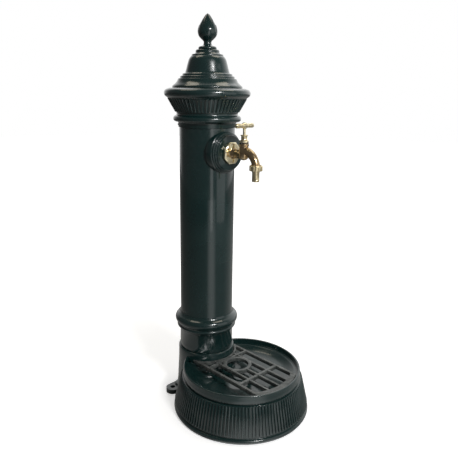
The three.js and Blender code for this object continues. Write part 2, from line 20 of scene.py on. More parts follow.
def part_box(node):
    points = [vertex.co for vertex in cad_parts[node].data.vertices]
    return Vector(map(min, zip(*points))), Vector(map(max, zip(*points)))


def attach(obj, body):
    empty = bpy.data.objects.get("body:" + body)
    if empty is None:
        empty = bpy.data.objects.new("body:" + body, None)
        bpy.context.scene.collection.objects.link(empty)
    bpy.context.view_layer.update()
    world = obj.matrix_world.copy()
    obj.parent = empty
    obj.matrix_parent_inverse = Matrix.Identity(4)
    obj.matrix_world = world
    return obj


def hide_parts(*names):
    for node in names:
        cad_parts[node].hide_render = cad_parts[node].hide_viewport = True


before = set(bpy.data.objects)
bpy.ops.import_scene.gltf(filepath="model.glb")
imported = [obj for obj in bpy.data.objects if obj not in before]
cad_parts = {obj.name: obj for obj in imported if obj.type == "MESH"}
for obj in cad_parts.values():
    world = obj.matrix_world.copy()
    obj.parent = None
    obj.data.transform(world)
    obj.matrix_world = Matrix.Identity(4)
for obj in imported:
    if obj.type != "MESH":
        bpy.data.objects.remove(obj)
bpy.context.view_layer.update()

log = logging.getLogger("fountain")

MM = 0.001
MERGE = 2e-6  # metres within which two points are one
SEED = 0.001  # metres across the square that an outline grows from
OVERRUN = 1.0  # millimetres that a cutting tool runs past what it cuts
CASTING_SIDES = 144
BRASS_SIDES = 48
RELIEF_DEPTH = 0.0012  # metres that a finish's relief stands at full strength
DUST_DULLNESS = 0.4  # roughness that a full layer of dust adds
FLAT = 0.51  # pointiness just above a flat face's
NEARLY = 0.9  # how closely a part has to lie along a direction to be chosen by it

UP = Vector((0, 0, 1))
RIGHT = Vector((1, 0, 0))
FORWARD = Vector((0, -1, 0))

Outline = Sequence[tuple[float, float]]
Colour = tuple[float, float, float]


class Body(Enum):
    """The rigid bodies that pieces ride on."""

    ROOT = "root"
    GRILLE = "grille"
    SPINDLE = "spindle"
    TAIL = "hose_tail"
    UNION = "union_nut"


class Slot(Enum):
    """The record's material slots."""

    ENAMEL = "enamel"
    GRILLE = "grille_paint"
    BRASS = "brass"
    STEEL = "steel"
    COPPER = "copper"
    RUBBER = "rubber"


class Element(Enum):
    """What an edit-mode selection is made of."""

    EDGE = "EDGE"
    FACE = "FACE"


class Combine(Enum):
    """How a tool shape acts on a piece."""

    UNION = "UNION"
    DIFFERENCE = "DIFFERENCE"
    INTERSECT = "INTERSECT"


@dataclass(frozen=True)
class Axis:
    """A line that shapes are turned about: its foot, its direction and where radius is drawn."""

    foot: Vector
    along: Vector = UP
    across: Vector = RIGHT

    def at(self, radius: float, height: float) -> Vector:
        """The point at a radius and height in millimetres."""
        return self.foot + (self.across * radius + self.along * height) * MM

    def swung(self, degrees: float) -> "Axis":
        """The same axis with its outline drawn a turn further round, anticlockwise."""
        turn = Quaternion(self.along, math.radians(degrees))
        return Axis(self.foot, self.along, turn @ self.across)


def upright(place: Vector) -> Axis:
    """The vertical axis through a place, with its foot on the ground."""
    return Axis(Vector((place.x, place.y, 0)))


# ---------------------------------------------------------------- bench
def pick(*objects: bpy.types.Object) -> None:
    """Makes these objects the whole selection, the first one active.

    Args:
        objects: what is selected.
    """
    bpy.ops.object.select_all(action="DESELECT")
    for obj in objects:
        obj.select_set(True)
    bpy.context.view_layer.objects.active = objects[0]


@contextmanager
def editing(obj: bpy.types.Object) -> Iterator[None]:
    """Edit mode on one object, with everything in it selected.

    Args:
        obj: the object to edit.

    Yields:
        Nothing; object mode is back after the block.
    """
    pick(obj)
    bpy.ops.object.mode_set(mode="EDIT")
    bpy.ops.mesh.select_mode(type="VERT")
    bpy.ops.mesh.select_all(action="SELECT")
    yield
    bpy.ops.object.mode_set(mode="OBJECT")


def choose(
    obj: bpy.types.Object, kind: Element, test: Callable[[Vector, Vector], bool]
) -> None:
    """Selects parts of the object being edited by their place and direction.

    Args:
        obj: the object in edit mode.
        kind: what is selected.
        test: takes a face's middle and normal, or an edge's middle and direction.
    """
    bpy.ops.mesh.select_mode(type=kind.value)
    bpy.ops.mesh.select_all(action="DESELECT")
    bpy.ops.object.mode_set(mode="OBJECT")
    mesh = obj.data
    if kind is Element.EDGE:
        for edge in mesh.edges:
            start, end = (mesh.vertices[i].co for i in edge.vertices)
            edge.select = test((start + end) / 2, (end - start).normalized())
    else:
        for face in mesh.polygons:
            face.select = test(face.center, face.normal)
    bpy.ops.object.mode_set(mode="EDIT")


def settle(obj: bpy.types.Object, name: str) -> bpy.types.Object:
    """Names an object and moves its place, turn and scale into its mesh.

    Args:
        obj: the object.
        name: its name, and its mesh's.

    Returns:
        The object.
    """
    obj.name = obj.data.name = name
    pick(obj)
    bpy.ops.object.transform_apply(location=True, rotation=True, scale=True)
    return obj


def close_up(obj: bpy.types.Object) -> bpy.types.Object:
    """Merges doubled points and turns every face outwards.

    Args:
        obj: the object.

    Returns:
        The object.
    """
    with editing(obj):
        bpy.ops.mesh.remove_doubles(threshold=MERGE)
        bpy.ops.mesh.normals_make_consistent(inside=False)
    return obj


def drawn(name: str, points: Sequence[Vector]) -> bpy.types.Object:
    """Draws a chain of edges through points, by extruding one vertex.

    Args:
        name: the object's name.
        points: the chain's points, in metres.

    Returns:
        The object that holds the chain.
    """
    bpy.ops.object.select_all(action="DESELECT")
    bpy.ops.mesh.primitive_plane_add(size=SEED, location=points[0])
    obj = settle(bpy.context.object, name)
    with editing(obj):
        bpy.ops.mesh.merge(type="CENTER")
        for start, end in zip(points, points[1:]):
            bpy.ops.mesh.extrude_vertices_move(TRANSFORM_OT_translate={"value": end - start})
    return obj


def turned(
    name: str, outline: Outline, axis: Axis, sides: int = CASTING_SIDES, degrees: float = 360
) -> bpy.types.Object:
    """Turns an outline about an axis.

    Args:
        name: the object's name.
        outline: radius and height pairs. One that starts on the axis ends on it, and any other
            closes on itself when it goes the whole way round.
        axis: what it turns about.
        sides: flat sides in the swing.
        degrees: how far it swings, clockwise seen from the axis's far end.

    Returns:
        The turned object.
    """
    whole = degrees == 360
    path = [*outline, outline[0]] if whole and outline[0][0] > 0 else list(outline)
    obj = drawn(name, [axis.at(radius, height) for radius, height in path])
    with editing(obj):
        bpy.ops.mesh.spin(
            steps=sides, angle=math.radians(degrees), center=axis.foot, axis=axis.along
        )
    return close_up(obj)


def repeated(
    obj: bpy.types.Object, axis: Axis, count: int, degrees: float = 360
) -> bpy.types.Object:
    """Copies a shape round an axis, clockwise, into the same mesh.

    Args:
        obj: the first one.
        axis: what the copies go round.
        count: how many there are in all.
        degrees: the angle that they share out; a whole turn leaves no double at its end.

    Returns:
        The object, with all its copies.
    """
    swing = math.radians(degrees) * (count - 1) / count
    with editing(obj):
        bpy.ops.mesh.spin(
            steps=count - 1, dupli=True, angle=swing, center=axis.foot, axis=axis.along
        )
    return obj


def block(name: str, size: Sequence[float], centre: Vector) -> bpy.types.Object:
    """A rectangular block of a size in millimetres, about a centre in metres.

    Args:
        name: the object's name.
        size: its sides, in millimetres.
        centre: its middle, in metres.

    Returns:
        The block.
    """
    bpy.ops.object.select_all(action="DESELECT")
    bpy.ops.mesh.primitive_cube_add(size=1, location=centre, scale=[side * MM for side in size])
    return settle(bpy.context.object, name)


def cylinder(
    name: str,
    radius: float,
    length: float,
    centre: Vector,
    sides: int,
    rotation: tuple[float, float, float] = (0, 0, 0),
) -> bpy.types.Object:
    """A plain cylinder, upright unless it is rotated.

    Args:
        name: the object's name.
        radius: in millimetres.
        length: in millimetres.
        centre: its middle, in metres.
        sides: flat sides round it.
        rotation: its turn about x, y and z, in radians.

    Returns:
        The cylinder.
    """
    bpy.ops.object.select_all(action="DESELECT")
    bpy.ops.mesh.primitive_cylinder_add(
        vertices=sides, radius=radius * MM, depth=length * MM, location=centre, rotation=rotation
    )
    return settle(bpy.context.object, name)


def combined(obj: bpy.types.Object, how: Combine, *tools: bpy.types.Object) -> bpy.types.Object:
    """Joins, cuts or trims a piece with tool shapes, which are used up.

    Args:
        obj: the piece.
        how: what each tool does to it.
        tools: the shapes, in order.

    Returns:
        The piece.
    """
    for tool in tools:
        change = obj.modifiers.new("combine", "BOOLEAN")
        change.operation = how.value
        change.solver = "EXACT"
        change.object = tool
        pick(obj)
        bpy.ops.object.modifier_apply(modifier=change.name)
        bpy.data.objects.remove(tool)
    return obj


def merged(name: str, *objects: bpy.types.Object) -> bpy.types.Object:
    """Puts several objects into one.

    Args:
        name: the whole's name.
        objects: its parts.

    Returns:
        The whole.
    """
    pick(*objects)
    bpy.ops.object.join()
    return settle(bpy.context.object, name)


def softened(
    obj: bpy.types.Object, width: float, segments: int = 2, degrees: float = 30
) -> bpy.types.Object:
    """Rounds the edges that are sharper than an angle, and shades the rest smoothly.

    Args:
        obj: the piece.
        width: of the rounding, in millimetres.
        segments: steps across it.
        degrees: the least angle that is rounded.

    Returns:
        The piece.
    """
    change = obj.modifiers.new("soften", "BEVEL")
    change.width = width * MM
    change.segments = segments
    change.limit_method = "ANGLE"
    change.angle_limit = math.radians(degrees)
    pick(obj)
    bpy.ops.object.modifier_apply(modifier=change.name)
    return shaded(obj)


def shaded(obj: bpy.types.Object, degrees: float = 38) -> bpy.types.Object:
    """Shades a piece smoothly, apart from edges sharper than an angle.

    Args:
        obj: the piece.
        degrees: the least angle that stays sharp.

    Returns:
        The piece.
    """
    pick(obj)
    bpy.ops.object.shade_smooth_by_angle(angle=math.radians(degrees))
    return obj


def bead(
    centre: tuple[float, float], radius: float, start: float, end: float, steps: int = 12
) -> list[tuple[float, float]]:
    """Outline points along a round bead.

    Args:
        centre: radius and height of its centre.
        radius: of the bead.
        start: first angle in degrees, where 0 points outwards and 90 up.
        end: last angle.
        steps: straight lengths that it is made of.

    Returns:
        The points, first to last.
    """
    angles = [math.radians(start + (end - start) * i / steps) for i in range(steps + 1)]
    return [(centre[0] + radius * math.cos(a), centre[1] + radius * math.sin(a)) for a in angles]


def middle(node: str) -> Vector:
    """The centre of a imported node's box."""
    low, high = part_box(node)
    return (low + high) / 2


# ---------------------------------------------------------------- finishes
class Board:
    """A node tree that is being wired."""

    def __init__(self, tree: bpy.types.NodeTree) -> None:
        """Starts from an empty tree."""
        self.tree = tree
        tree.nodes.clear()

    def add(
        self, kind: str, feeds: dict[Any, Any] | None = None, **settings: Any
    ) -> bpy.types.Node:
        """Adds a node.

        Args:
            kind: the node's type, without its ShaderNode prefix.
            feeds: a socket or a value for each named or numbered input.
            settings: the node's own properties.

        Returns:
            The node.
        """
        prefix = "" if kind.startswith("NodeGroup") else "ShaderNode"
        node = self.tree.nodes.new(prefix + kind)
        for name, value in settings.items():
            setattr(node, name, value)
        for name, value in (feeds or {}).items():
            if isinstance(value, bpy.types.NodeSocket):
                self.send(value, node, name)
            else:
                node.inputs[name].default_value = value
        return node

    def math(self, operation: str, first: Any, second: Any = 0.0) -> bpy.types.NodeSocket:
        """The result of one sum on two values."""
        return self.add("Math", {0: first, 1: second}, operation=operation).outputs[0]

    def send(self, value: bpy.types.NodeSocket, node: bpy.types.Node, name: str | int) -> None:
        """Wires a value to one of a node's inputs."""
        self.tree.links.new(value, node.inputs[name])

    def ramp(
        self, value: Any, low: float, high: float, to: tuple[float, float] = (0, 1)
    ) -> bpy.types.NodeSocket:
        """A value stretched smoothly from one range to another, and held at its ends.

        Args:
            value: what is stretched.
            low: the value that gives the first end.
            high: the value that gives the second end.
            to: the two ends.

        Returns:
            The stretched value.
        """
        feeds = {
            "Value": value,
            "From Min": low,
            "From Max": high,
            "To Min": to[0],
            "To Max": to[1],
        }
        return self.add("MapRange", feeds, interpolation_type="SMOOTHSTEP").outputs["Result"]

    def noise(self, place: Any, scale: Any, detail: float = 2.0) -> bpy.types.NodeSocket:
        """A soft random value at each place."""
        feeds = {"Vector": place, "Scale": scale, "Detail": detail}
        return self.add("TexNoise", feeds).outputs[0]

    def blend(self, share: Any, first: Any, second: Any) -> bpy.types.NodeSocket:
        """Two colours mixed by a share of the second."""
        feeds = {0: share, 6: first, 7: second}
        return self.add("Mix", feeds, data_type="RGBA").outputs[2]

    def agreement(self, way: Any, direction: Vector) -> bpy.types.NodeSocket:
        """How nearly a way points in a direction: 1 along it and -1 against it."""
        feeds = {0: way, 1: direction}
        return self.add("VectorMath", feeds, operation="DOT_PRODUCT").outputs["Value"]

    def place(self) -> bpy.types.NodeSocket:
        """Object coordinates."""
        return self.add("TexCoord").outputs["Object"]


def solid(colour: Colour) -> tuple[float, float, float, float]:
    """A colour with full cover."""
    return (*colour, 1.0)


def effect(
    name: str, inputs: dict[str, float], outputs: Sequence[str]
) -> tuple[Board, bpy.types.Node, bpy.types.Node]:
    """Starts a shader node group with named sockets.

    Args:
        name: the group's name.
        inputs: each input's name and usual value.
        outputs: the outputs' names.

    Returns:
        The board, the node that holds the inputs and the node that takes the outputs.
    """
    tree = bpy.data.node_groups.new(name, "ShaderNodeTree")
    for socket_name, value in inputs.items():
        socket = tree.interface.new_socket(
            name=socket_name, in_out="INPUT", socket_type="NodeSocketFloat"
        )
        socket.default_value = value
    for socket_name in outputs:
        tree.interface.new_socket(
            name=socket_name, in_out="OUTPUT", socket_type="NodeSocketFloat"
        )
    board = Board(tree)
    return board, board.add("NodeGroupInput"), board.add("NodeGroupOutput")


def cast_skin() -> bpy.types.NodeTree:
    """The slow waves and fine orange peel of paint over a casting.

    Returns:
        The group: Height is the relief, and Tone a slow change of colour.
    """
    board, given, out = effect("cast_skin", {"Wave": 26.0, "Peel": 210.0}, ["Height", "Tone"])
    place = board.place()
    wave = board.noise(place, given.outputs["Wave"])
    peel = board.noise(place, given.outputs["Peel"], 3.0)
    height = board.math("MULTIPLY_ADD", peel, 0.22)
    board.send(wave, height.node, 2)
    board.send(height, out, "Height")
    tone = board.ramp(board.noise(place, 7.0, 4.0), 0.35, 0.68)
    board.send(tone, out, "Tone")
    return board.tree


def edge_wear() -> bpy.types.NodeTree:
    """Where ridges are rubbed thin, broken up by a noise.

    Returns:
        The group: Mask is 1 where it is worn.
    """
    board, given, out = effect("edge_wear", {"Reach": 0.03, "Amount": 1.0}, ["Mask"])
    ridge = board.add("NewGeometry").outputs["Pointiness"]
    edge = board.ramp(ridge, FLAT, 1.0)
    board.send(board.math("ADD", given.outputs["Reach"], FLAT), edge.node, "From Max")
    patch = board.ramp(board.noise(board.place(), 90.0, 3.0), 0.35, 0.7)
    mask = board.math("MULTIPLY", board.math("MULTIPLY", edge, patch), given.outputs["Amount"])
    board.send(mask, out, "Mask")
    return board.tree


def settled_dust() -> bpy.types.NodeTree:
    """Dust that lies on upward faces and gathers towards the ground.

    Returns:
        The group: Mask is 1 under full dust.
    """
    board, given, out = effect("settled_dust", {"Amount": 1.0, "Ground": 0.35}, ["Mask"])
    normal = board.add("NewGeometry").outputs["Normal"]
    facing = board.add("SeparateXYZ", {0: normal}).outputs["Z"]
    lying = board.ramp(facing, 0.55, 1.0)
    place = board.place()
    height = board.add("SeparateXYZ", {0: place}).outputs["Z"]
    low = board.ramp(height, 0.0, 0.16, (1.0, 0.0))
    splash = board.math("MULTIPLY", low, given.outputs["Ground"])
    patch = board.ramp(board.noise(place, 34.0, 5.0), 0.38, 0.72)
    both = board.math("MAXIMUM", lying, splash)
    mask = board.math("MULTIPLY", board.math("MULTIPLY", both, patch), given.outputs["Amount"])
    board.send(mask, out, "Mask")
    return board.tree


class Effects:
    """The shared effects, each built once."""

    def __init__(self) -> None:
        """Builds every group."""
        self.skin = cast_skin()
        self.wear = edge_wear()
        self.dust = settled_dust()


@dataclass(frozen=True)
class Finish:
    """One surface finish: its colours, gloss and how much of each effect it shows."""

    name: str
    colour: Colour
    shade: Colour
    worn: Colour
    dust: Colour
    roughness: tuple[float, float]
    metallic: float = 0.0
    coat: float = 0.0
    coat_roughness: float = 0.05
    wear: float = 0.5
    dustiness: float = 0.2
    relief: float = 0.2
    wave: float = 26.0
    peel: float = 210.0

    def material(self, effects: Effects) -> bpy.types.Material:
        """Builds the finish as a material.

        Args:
            effects: the shared node groups.

        Returns:
            The material.
        """
        made = bpy.data.materials.new(self.name)
        made.use_nodes = True
        board = Board(made.node_tree)
        skin = board.add("Group", node_tree=effects.skin)
        skin.inputs["Wave"].default_value = self.wave
        skin.inputs["Peel"].default_value = self.peel
        wear = board.add("Group", node_tree=effects.wear)
        wear.inputs["Amount"].default_value = self.wear
        dust = board.add("Group", node_tree=effects.dust)
        dust.inputs["Amount"].default_value = self.dustiness
        base = board.blend(skin.outputs["Tone"], solid(self.colour), solid(self.shade))
        base = board.blend(wear.outputs["Mask"], base, solid(self.worn))
        base = board.blend(dust.outputs["Mask"], base, solid(self.dust))
        gloss = board.ramp(skin.outputs["Tone"], 0, 1, self.roughness)
        dulled = board.math("MULTIPLY", dust.outputs["Mask"], DUST_DULLNESS)
        gloss = board.math("ADD", gloss, dulled)
        relief = {
            "Strength": self.relief,
            "Distance": RELIEF_DEPTH,
            "Height": skin.outputs["Height"],
        }
        bump = board.add("Bump", relief)
        shader = board.add(
            "BsdfPrincipled",
            {
                "Base Color": base,
                "Roughness": gloss,
                "Metallic": self.metallic,
                "Coat Weight": self.coat,
                "Coat Roughness": self.coat_roughness,
                "Normal": bump.outputs["Normal"],
            },
        )
        board.add("OutputMaterial", {"Surface": shader.outputs["BSDF"]})
        return made


FINISHES: dict[Slot, Finish] = {
    Slot.ENAMEL: Finish(
        "bottle_green_enamel",
        colour=(0.0052, 0.0238, 0.0230),
        shade=(0.0068, 0.0285, 0.0275),
        worn=(0.040, 0.052, 0.052),
        dust=(0.085, 0.088, 0.080),
        roughness=(0.22, 0.32),
        coat=0.7,
        coat_roughness=0.05,
        wear=0.2,
        dustiness=0.05,
        relief=0.07,
        peel=150.0,
    ),
    Slot.GRILLE: Finish(
        "grille_grey_green",
        colour=(0.078, 0.088, 0.085),
        shade=(0.060, 0.069, 0.067),
        worn=(0.20, 0.21, 0.20),
        dust=(0.16, 0.16, 0.15),
        roughness=(0.38, 0.5),
        metallic=0.1,
        wear=0.7,
        dustiness=0.3,
        relief=0.3,
    ),
    # Brass paled past its own colour: partly polished brass, partly a painted highlight standing
    # in for the strong light on the brass fittings.
    Slot.BRASS: Finish(
        "polished_brass_painted_highlight",
        colour=(0.96, 0.87, 0.60),
        shade=(0.90, 0.76, 0.47),
        worn=(0.95, 0.88, 0.66),
        dust=(0.34, 0.24, 0.10),
        roughness=(0.20, 0.32),
        metallic=1.0,
        wear=0.5,
        dustiness=0.15,
        relief=0.10,
        wave=150.0,
        peel=900.0,
    ),
    Slot.STEEL: Finish(
        "blackened_steel",
        colour=(0.060, 0.064, 0.066),
        shade=(0.090, 0.090, 0.088),
        worn=(0.32, 0.32, 0.31),
        dust=(0.16, 0.09, 0.05),
        roughness=(0.32, 0.48),
        metallic=0.9,
    ),
    Slot.COPPER: Finish(
        "dull_copper",
        colour=(0.62, 0.30, 0.18),
        shade=(0.42, 0.20, 0.12),
        worn=(0.80, 0.45, 0.30),
        dust=(0.10, 0.16, 0.13),
        roughness=(0.25, 0.45),
        metallic=1.0,
    ),
    Slot.RUBBER: Finish(
        "black_rubber",
        colour=(0.012, 0.012, 0.012),
        shade=(0.020, 0.020, 0.020),
        worn=(0.05, 0.05, 0.05),
        dust=(0.10, 0.10, 0.09),
        roughness=(0.6, 0.8),
        relief=0.4,
    ),
}


# A darker, browner copy of the brass for the tap body: partly its duller cast surface, partly
# painted shade.
CAST_BRASS_PAINTED_SHADE = replace(
    FINISHES[Slot.BRASS],
    name="cast_brass_painted_shade",
    colour=(0.60, 0.45, 0.27),
    shade=(0.46, 0.33, 0.19),
    worn=(0.90, 0.78, 0.50),
    roughness=(0.16, 0.28),
)


class Paintwork:
    """Holds the finishes and puts them on pieces."""

    def __init__(self) -> None:
        """Builds each finish once."""
        effects = Effects()
        self.materials = {slot: finish.material(effects) for slot, finish in FINISHES.items()}
        self.cast_brass_painted_shade = CAST_BRASS_PAINTED_SHADE.material(effects)

    def coat(self, obj: bpy.types.Object, slot: Slot) -> None:
        """Gives a piece one finish all over."""
        obj.data.materials.clear()
        obj.data.materials.append(self.materials[slot])

    def darken_with_painted_shade(self, obj: bpy.types.Object) -> None:
        """Gives a brass casting its browner, darker finish: partly its unpolished surface, partly
        painted shade.
        """
        obj.data.materials[0] = self.cast_brass_painted_shade

    def mount(
        self, obj: bpy.types.Object, body: Body, slot: Slot, *stands_for: str
    ) -> bpy.types.Object:
        """Finishes a piece and sets it riding on its body.

        Args:
            obj: the piece.
            body: what it moves with.
            slot: the finish it takes.
            stands_for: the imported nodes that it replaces.

        Returns:
            The piece.
        """
        self.coat(obj, slot)
        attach(obj, body.value)
        if stands_for:
            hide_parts(*stands_for)
        log.info("%s: %d faces on %s", obj.name, len(obj.data.polygons), body.value)
        return obj


# ---------------------------------------------------------------- base
@dataclass
class Basin:
    """The basin casting: ribbed drum, bowl, pedestal and anchor lugs."""

    axis: Axis
    column: Axis
    foot_radius: float = 188
    rim_radius: float = 162
    rim_height: float = 122
    bowl_radius: float = 156
    ledge_height: float = 107.5
    wall_top: tuple[float, float] = (165.5, 95)
    wall_foot: tuple[float, float] = (184, 17)
    rib_radius: float = 2.9
    rib_stand: float = 0.5
    rib_rise: float = 0.8
    rib_shortening: float = 1
    rib_rounding: float = 2.465
    ribs_in_a_turn: int = 126
    ribs_hidden: int = 18
    pedestal_radius: float = 80
    pedestal_height: float = 136
    lug_reach: float = 102
    lug_setback: float = 34
    lug_radius: float = 19
    lug_thickness: float = 13.5
    lug_hole: float = 6
    web_length: float = 36
    fillet_inset: float = 31
    fillet_forward: float = 2

    def drum(self) -> bpy.types.Object:
        """The bowl and its outer wall, as one shell.

        Returns:
            The drum.
        """
        rim, foot = self.rim_radius, self.foot_radius
        outline = [
            (0, 84), (30, 84), (70, 85.8), (105, 89), (120, 91.8), (130, 95), (137, 99),
            (143, 104), (147, self.ledge_height), (self.bowl_radius, self.ledge_height),
            (self.bowl_radius, self.rim_height - 1.5), (157.5, self.rim_height),
            (rim - 1.5, self.rim_height), (rim, self.rim_height - 1.5), (rim, 114), (rim + 1, 110),
            (rim + 1.4, 101), (rim + 0.6, 99.4), (rim - 3, 98.6), (rim - 3, 95.6),
            self.wall_top, self.wall_foot, (181.5, 15.5), (181.5, 13),
            *bead((foot - 5.5, 7.0), 5.6, 70, -55, 7),
            (foot - 3, 0), (foot - 9, 0), (161, 86), (153, 99), (143, 98), (130, 88), (105, 82),
            (30, 78), (0, 78),
        ]
        return softened(turned("basin_drum", outline, self.axis), 0.7)

    def ribs(self) -> bpy.types.Object:
        """The fine round-headed ribs on the wall, left out where the pedestal covers them.

        Returns:
            All the ribs, as one piece.
        """
        top, foot = self.wall_top, self.wall_foot
        lean = math.atan2(foot[0] - top[0], top[1] - foot[1])
        length = math.hypot(foot[0] - top[0], top[1] - foot[1]) - self.rib_shortening
        pitch = 360 / self.ribs_in_a_turn
        count = self.ribs_in_a_turn - self.ribs_hidden
        start = 90 - pitch * (self.ribs_hidden + 1) / 2
        spoke = self.axis.swung(start)
        centre = spoke.at(
            (top[0] + foot[0]) / 2 + self.rib_stand, (top[1] + foot[1]) / 2 + self.rib_rise
        )
        slope = (0, -lean, math.radians(start))
        rib = cylinder("basin_ribs", self.rib_radius, length, centre, 8, slope)
        softened(rib, self.rib_rounding, 2, 60)
        return shaded(repeated(rib, self.axis, count, pitch * count), 50)

    def pedestal(self) -> bpy.types.Object:
        """The half-round stand behind the bowl, and its apron in the bowl.

        Returns:
            The pedestal, with its apron trimmed to the bowl's wall.
        """
        radius, height = self.pedestal_radius, self.pedestal_height
        stand = turned("pedestal", [
            (0, 0), (radius + 7, 0), (radius + 8, 1.5), (radius + 8, 6), (radius + 7, 9),
            (radius + 5.6, 14), (radius + 4.4, 30), (radius + 3, 60), (radius + 1, 100),
            (radius + 0.8, height - 3), (radius, height - 1), (radius - 1.6, height), (0, height),
        ], self.column)
        apron = turned("apron", [
            (0, 80), (95, 80), (93.5, 86), (91.5, 92), (89, 96), (87, 100),
            (87, self.ledge_height - 1.5), (85.5, self.ledge_height), (0, self.ledge_height),
        ], self.column)
        wall = self.bowl_radius + OVERRUN
        high = self.rim_height
        bowl = turned("bowl", [(0, 70), (wall, 70), (wall, high), (0, high)], self.axis)
        combined(apron, Combine.INTERSECT, bowl)
        return softened(merged("pedestal_stand", stand, apron), 0.8)

    def lug(self, side: int) -> bpy.types.Object:
        """An anchor lug with its hole.

        Args:
            side: 1 for the right one and -1 for the left.

        Returns:
            The lug.
        """
        name = "anchor_lug_right" if side > 0 else "anchor_lug_left"
        radius, high = self.lug_radius, self.lug_thickness
        eye = Axis(self.column.foot + Vector((self.lug_reach * side, self.lug_setback, 0)) * MM)
        ear = turned(name, [(0, 0), (radius, 0), (radius, high), (0, high)], eye, 48)
        web_centre = eye.foot + Vector((-self.web_length / 2 * side, 0, high / 2)) * MM
        web = block("lug_web", (self.web_length, 2 * radius, high), web_centre)
        shift = Vector((-self.fillet_inset * side, -self.fillet_forward, 0)) * MM
        fillet = turned("lug_fillet", [
            (0, 0), (30, 0), (24, 5), (20, high), (17, 19), (0, 22),
        ], Axis(eye.foot + shift), 40)
        hole = turned("lug_hole", [
            (0, -OVERRUN), (self.lug_hole, -OVERRUN), (self.lug_hole, high - 1.5),
            (self.lug_hole + 2, high + OVERRUN), (0, high + OVERRUN),
        ], eye, 40)
        combined(ear, Combine.UNION, web, fillet)
        return softened(combined(ear, Combine.DIFFERENCE, hole), 1.1, 3, 40)

    def build(self, paint: Paintwork) -> None:
        """Builds and dresses the basin.

        Args:
            paint: holds the finishes.
        """
        paint.mount(self.drum(), Body.ROOT, Slot.ENAMEL, "basin_casting")
        for piece in (self.ribs(), self.pedestal(), self.lug(1), self.lug(-1)):
            paint.mount(piece, Body.ROOT, Slot.ENAMEL)


@dataclass
class Grille:
    """The loose grille that lies in the bowl."""

    basin: Axis
    column: Axis
    hole: Axis
    low: float
    high: float
    outer_radius: float = 153
    band: float = 15
    half_width: float = 77
    side_bar: float = 7
    bar: float = 5.6
    inner_bar: float = 36.5
    hole_radius: float = 31
    hole_rim: float = 8.5
    column_gap: float = 83
    hole_offset: float = 131
    cross_reach: float = 210
    rear_reach: float = 38.5
    bar_start: float = 2
    sheet_reach: float = 18

    def beam(self, width: float, depth: float, x: float, y: float) -> bpy.types.Object:
        """A straight bar, as thick as the grille.

        Args:
            width: across, in millimetres.
            depth: front to back, in millimetres.
            x: its middle across, in millimetres.
            y: its middle front to back, in metres.

        Returns:
            The bar.
        """
        height = (self.low + self.high) / 2 * MM
        return block("beam", (width, depth, self.high - self.low), Vector((x * MM, y, height)))

    def hoop(self, axis: Axis, inner: float, outer: float) -> bpy.types.Object:
        """A flat ring, as thick as the grille."""
        low, high = self.low, self.high
        return turned("hoop", [(inner, low), (outer, low), (outer, high), (inner, high)], axis)

    def plug(self, axis: Axis, radius: float, over: float) -> bpy.types.Object:
        """A round tool that runs past the grille's faces."""
        low, high = self.low - over, self.high + over
        return turned("plug", [(0, low), (radius, low), (radius, high), (0, high)], axis)

    def bars(self) -> bpy.types.Object:
        """The outer ring with every bar and ring inside it, not yet trimmed.

        Returns:
            The bars, as one piece.
        """
        middle_y, hole_y = self.basin.foot.y, self.hole.foot.y
        long = 2 * self.outer_radius
        side_x = self.half_width - self.side_bar / 2
        front_y = hole_y - (self.hole_radius + self.bar_start + long / 4) * MM
        cross_y = self.column.foot.y - self.cross_reach * MM
        return combined(
            self.hoop(self.basin, self.outer_radius - self.band, self.outer_radius),
            Combine.UNION,
            self.beam(self.side_bar, long, side_x, middle_y),
            self.beam(self.side_bar, long, -side_x, middle_y),
            self.beam(self.bar, long, self.inner_bar, middle_y),
            self.beam(self.bar, long, -self.inner_bar, middle_y),
            self.beam(self.bar, long / 2, 0, front_y),
            self.beam(2 * self.half_width, self.side_bar, 0, cross_y),
            self.beam(2 * self.half_width, self.bar, 0, hole_y + self.rear_reach * MM),
            self.plug(self.hole, self.hole_radius + self.hole_rim, 0),
            self.hoop(self.column, self.column_gap, self.column_gap + self.bar),
        )

    def sheet(self) -> bpy.types.Object:
        """The tool that trims the sides straight and leaves room for the column.

        Returns:
            The tool.
        """
        size = (2 * self.half_width, 4 * self.outer_radius, self.high - self.low + OVERRUN)
        middle_y = self.column.foot.y - (2 * self.outer_radius + self.sheet_reach) * MM
        centre = Vector((0, middle_y, (self.low + self.high) / 2 * MM))
        gap = self.plug(self.column, self.column_gap, 2 * OVERRUN)
        return combined(block("sheet", size, centre), Combine.DIFFERENCE, gap)

    def casting(self) -> bpy.types.Object:
        """The whole grille, trimmed to the bowl, with its hole for the water.

        Returns:
            The grille.
        """
        piece = self.bars()
        combined(piece, Combine.INTERSECT, self.sheet())
        combined(piece, Combine.INTERSECT, self.plug(self.basin, self.outer_radius, OVERRUN))
        combined(piece, Combine.DIFFERENCE, self.plug(self.hole, self.hole_radius, OVERRUN))
        with editing(piece):
            bpy.ops.mesh.dissolve_limited(angle_limit=math.radians(1))
            bpy.ops.mesh.remove_doubles(threshold=MERGE)
        return softened(settle(piece, "grille_casting"), 1.0, 2, 40)

    def build(self, paint: Paintwork) -> None:
        """Builds and dresses the grille."""
        paint.mount(self.casting(), Body.GRILLE, Slot.GRILLE, "grille")


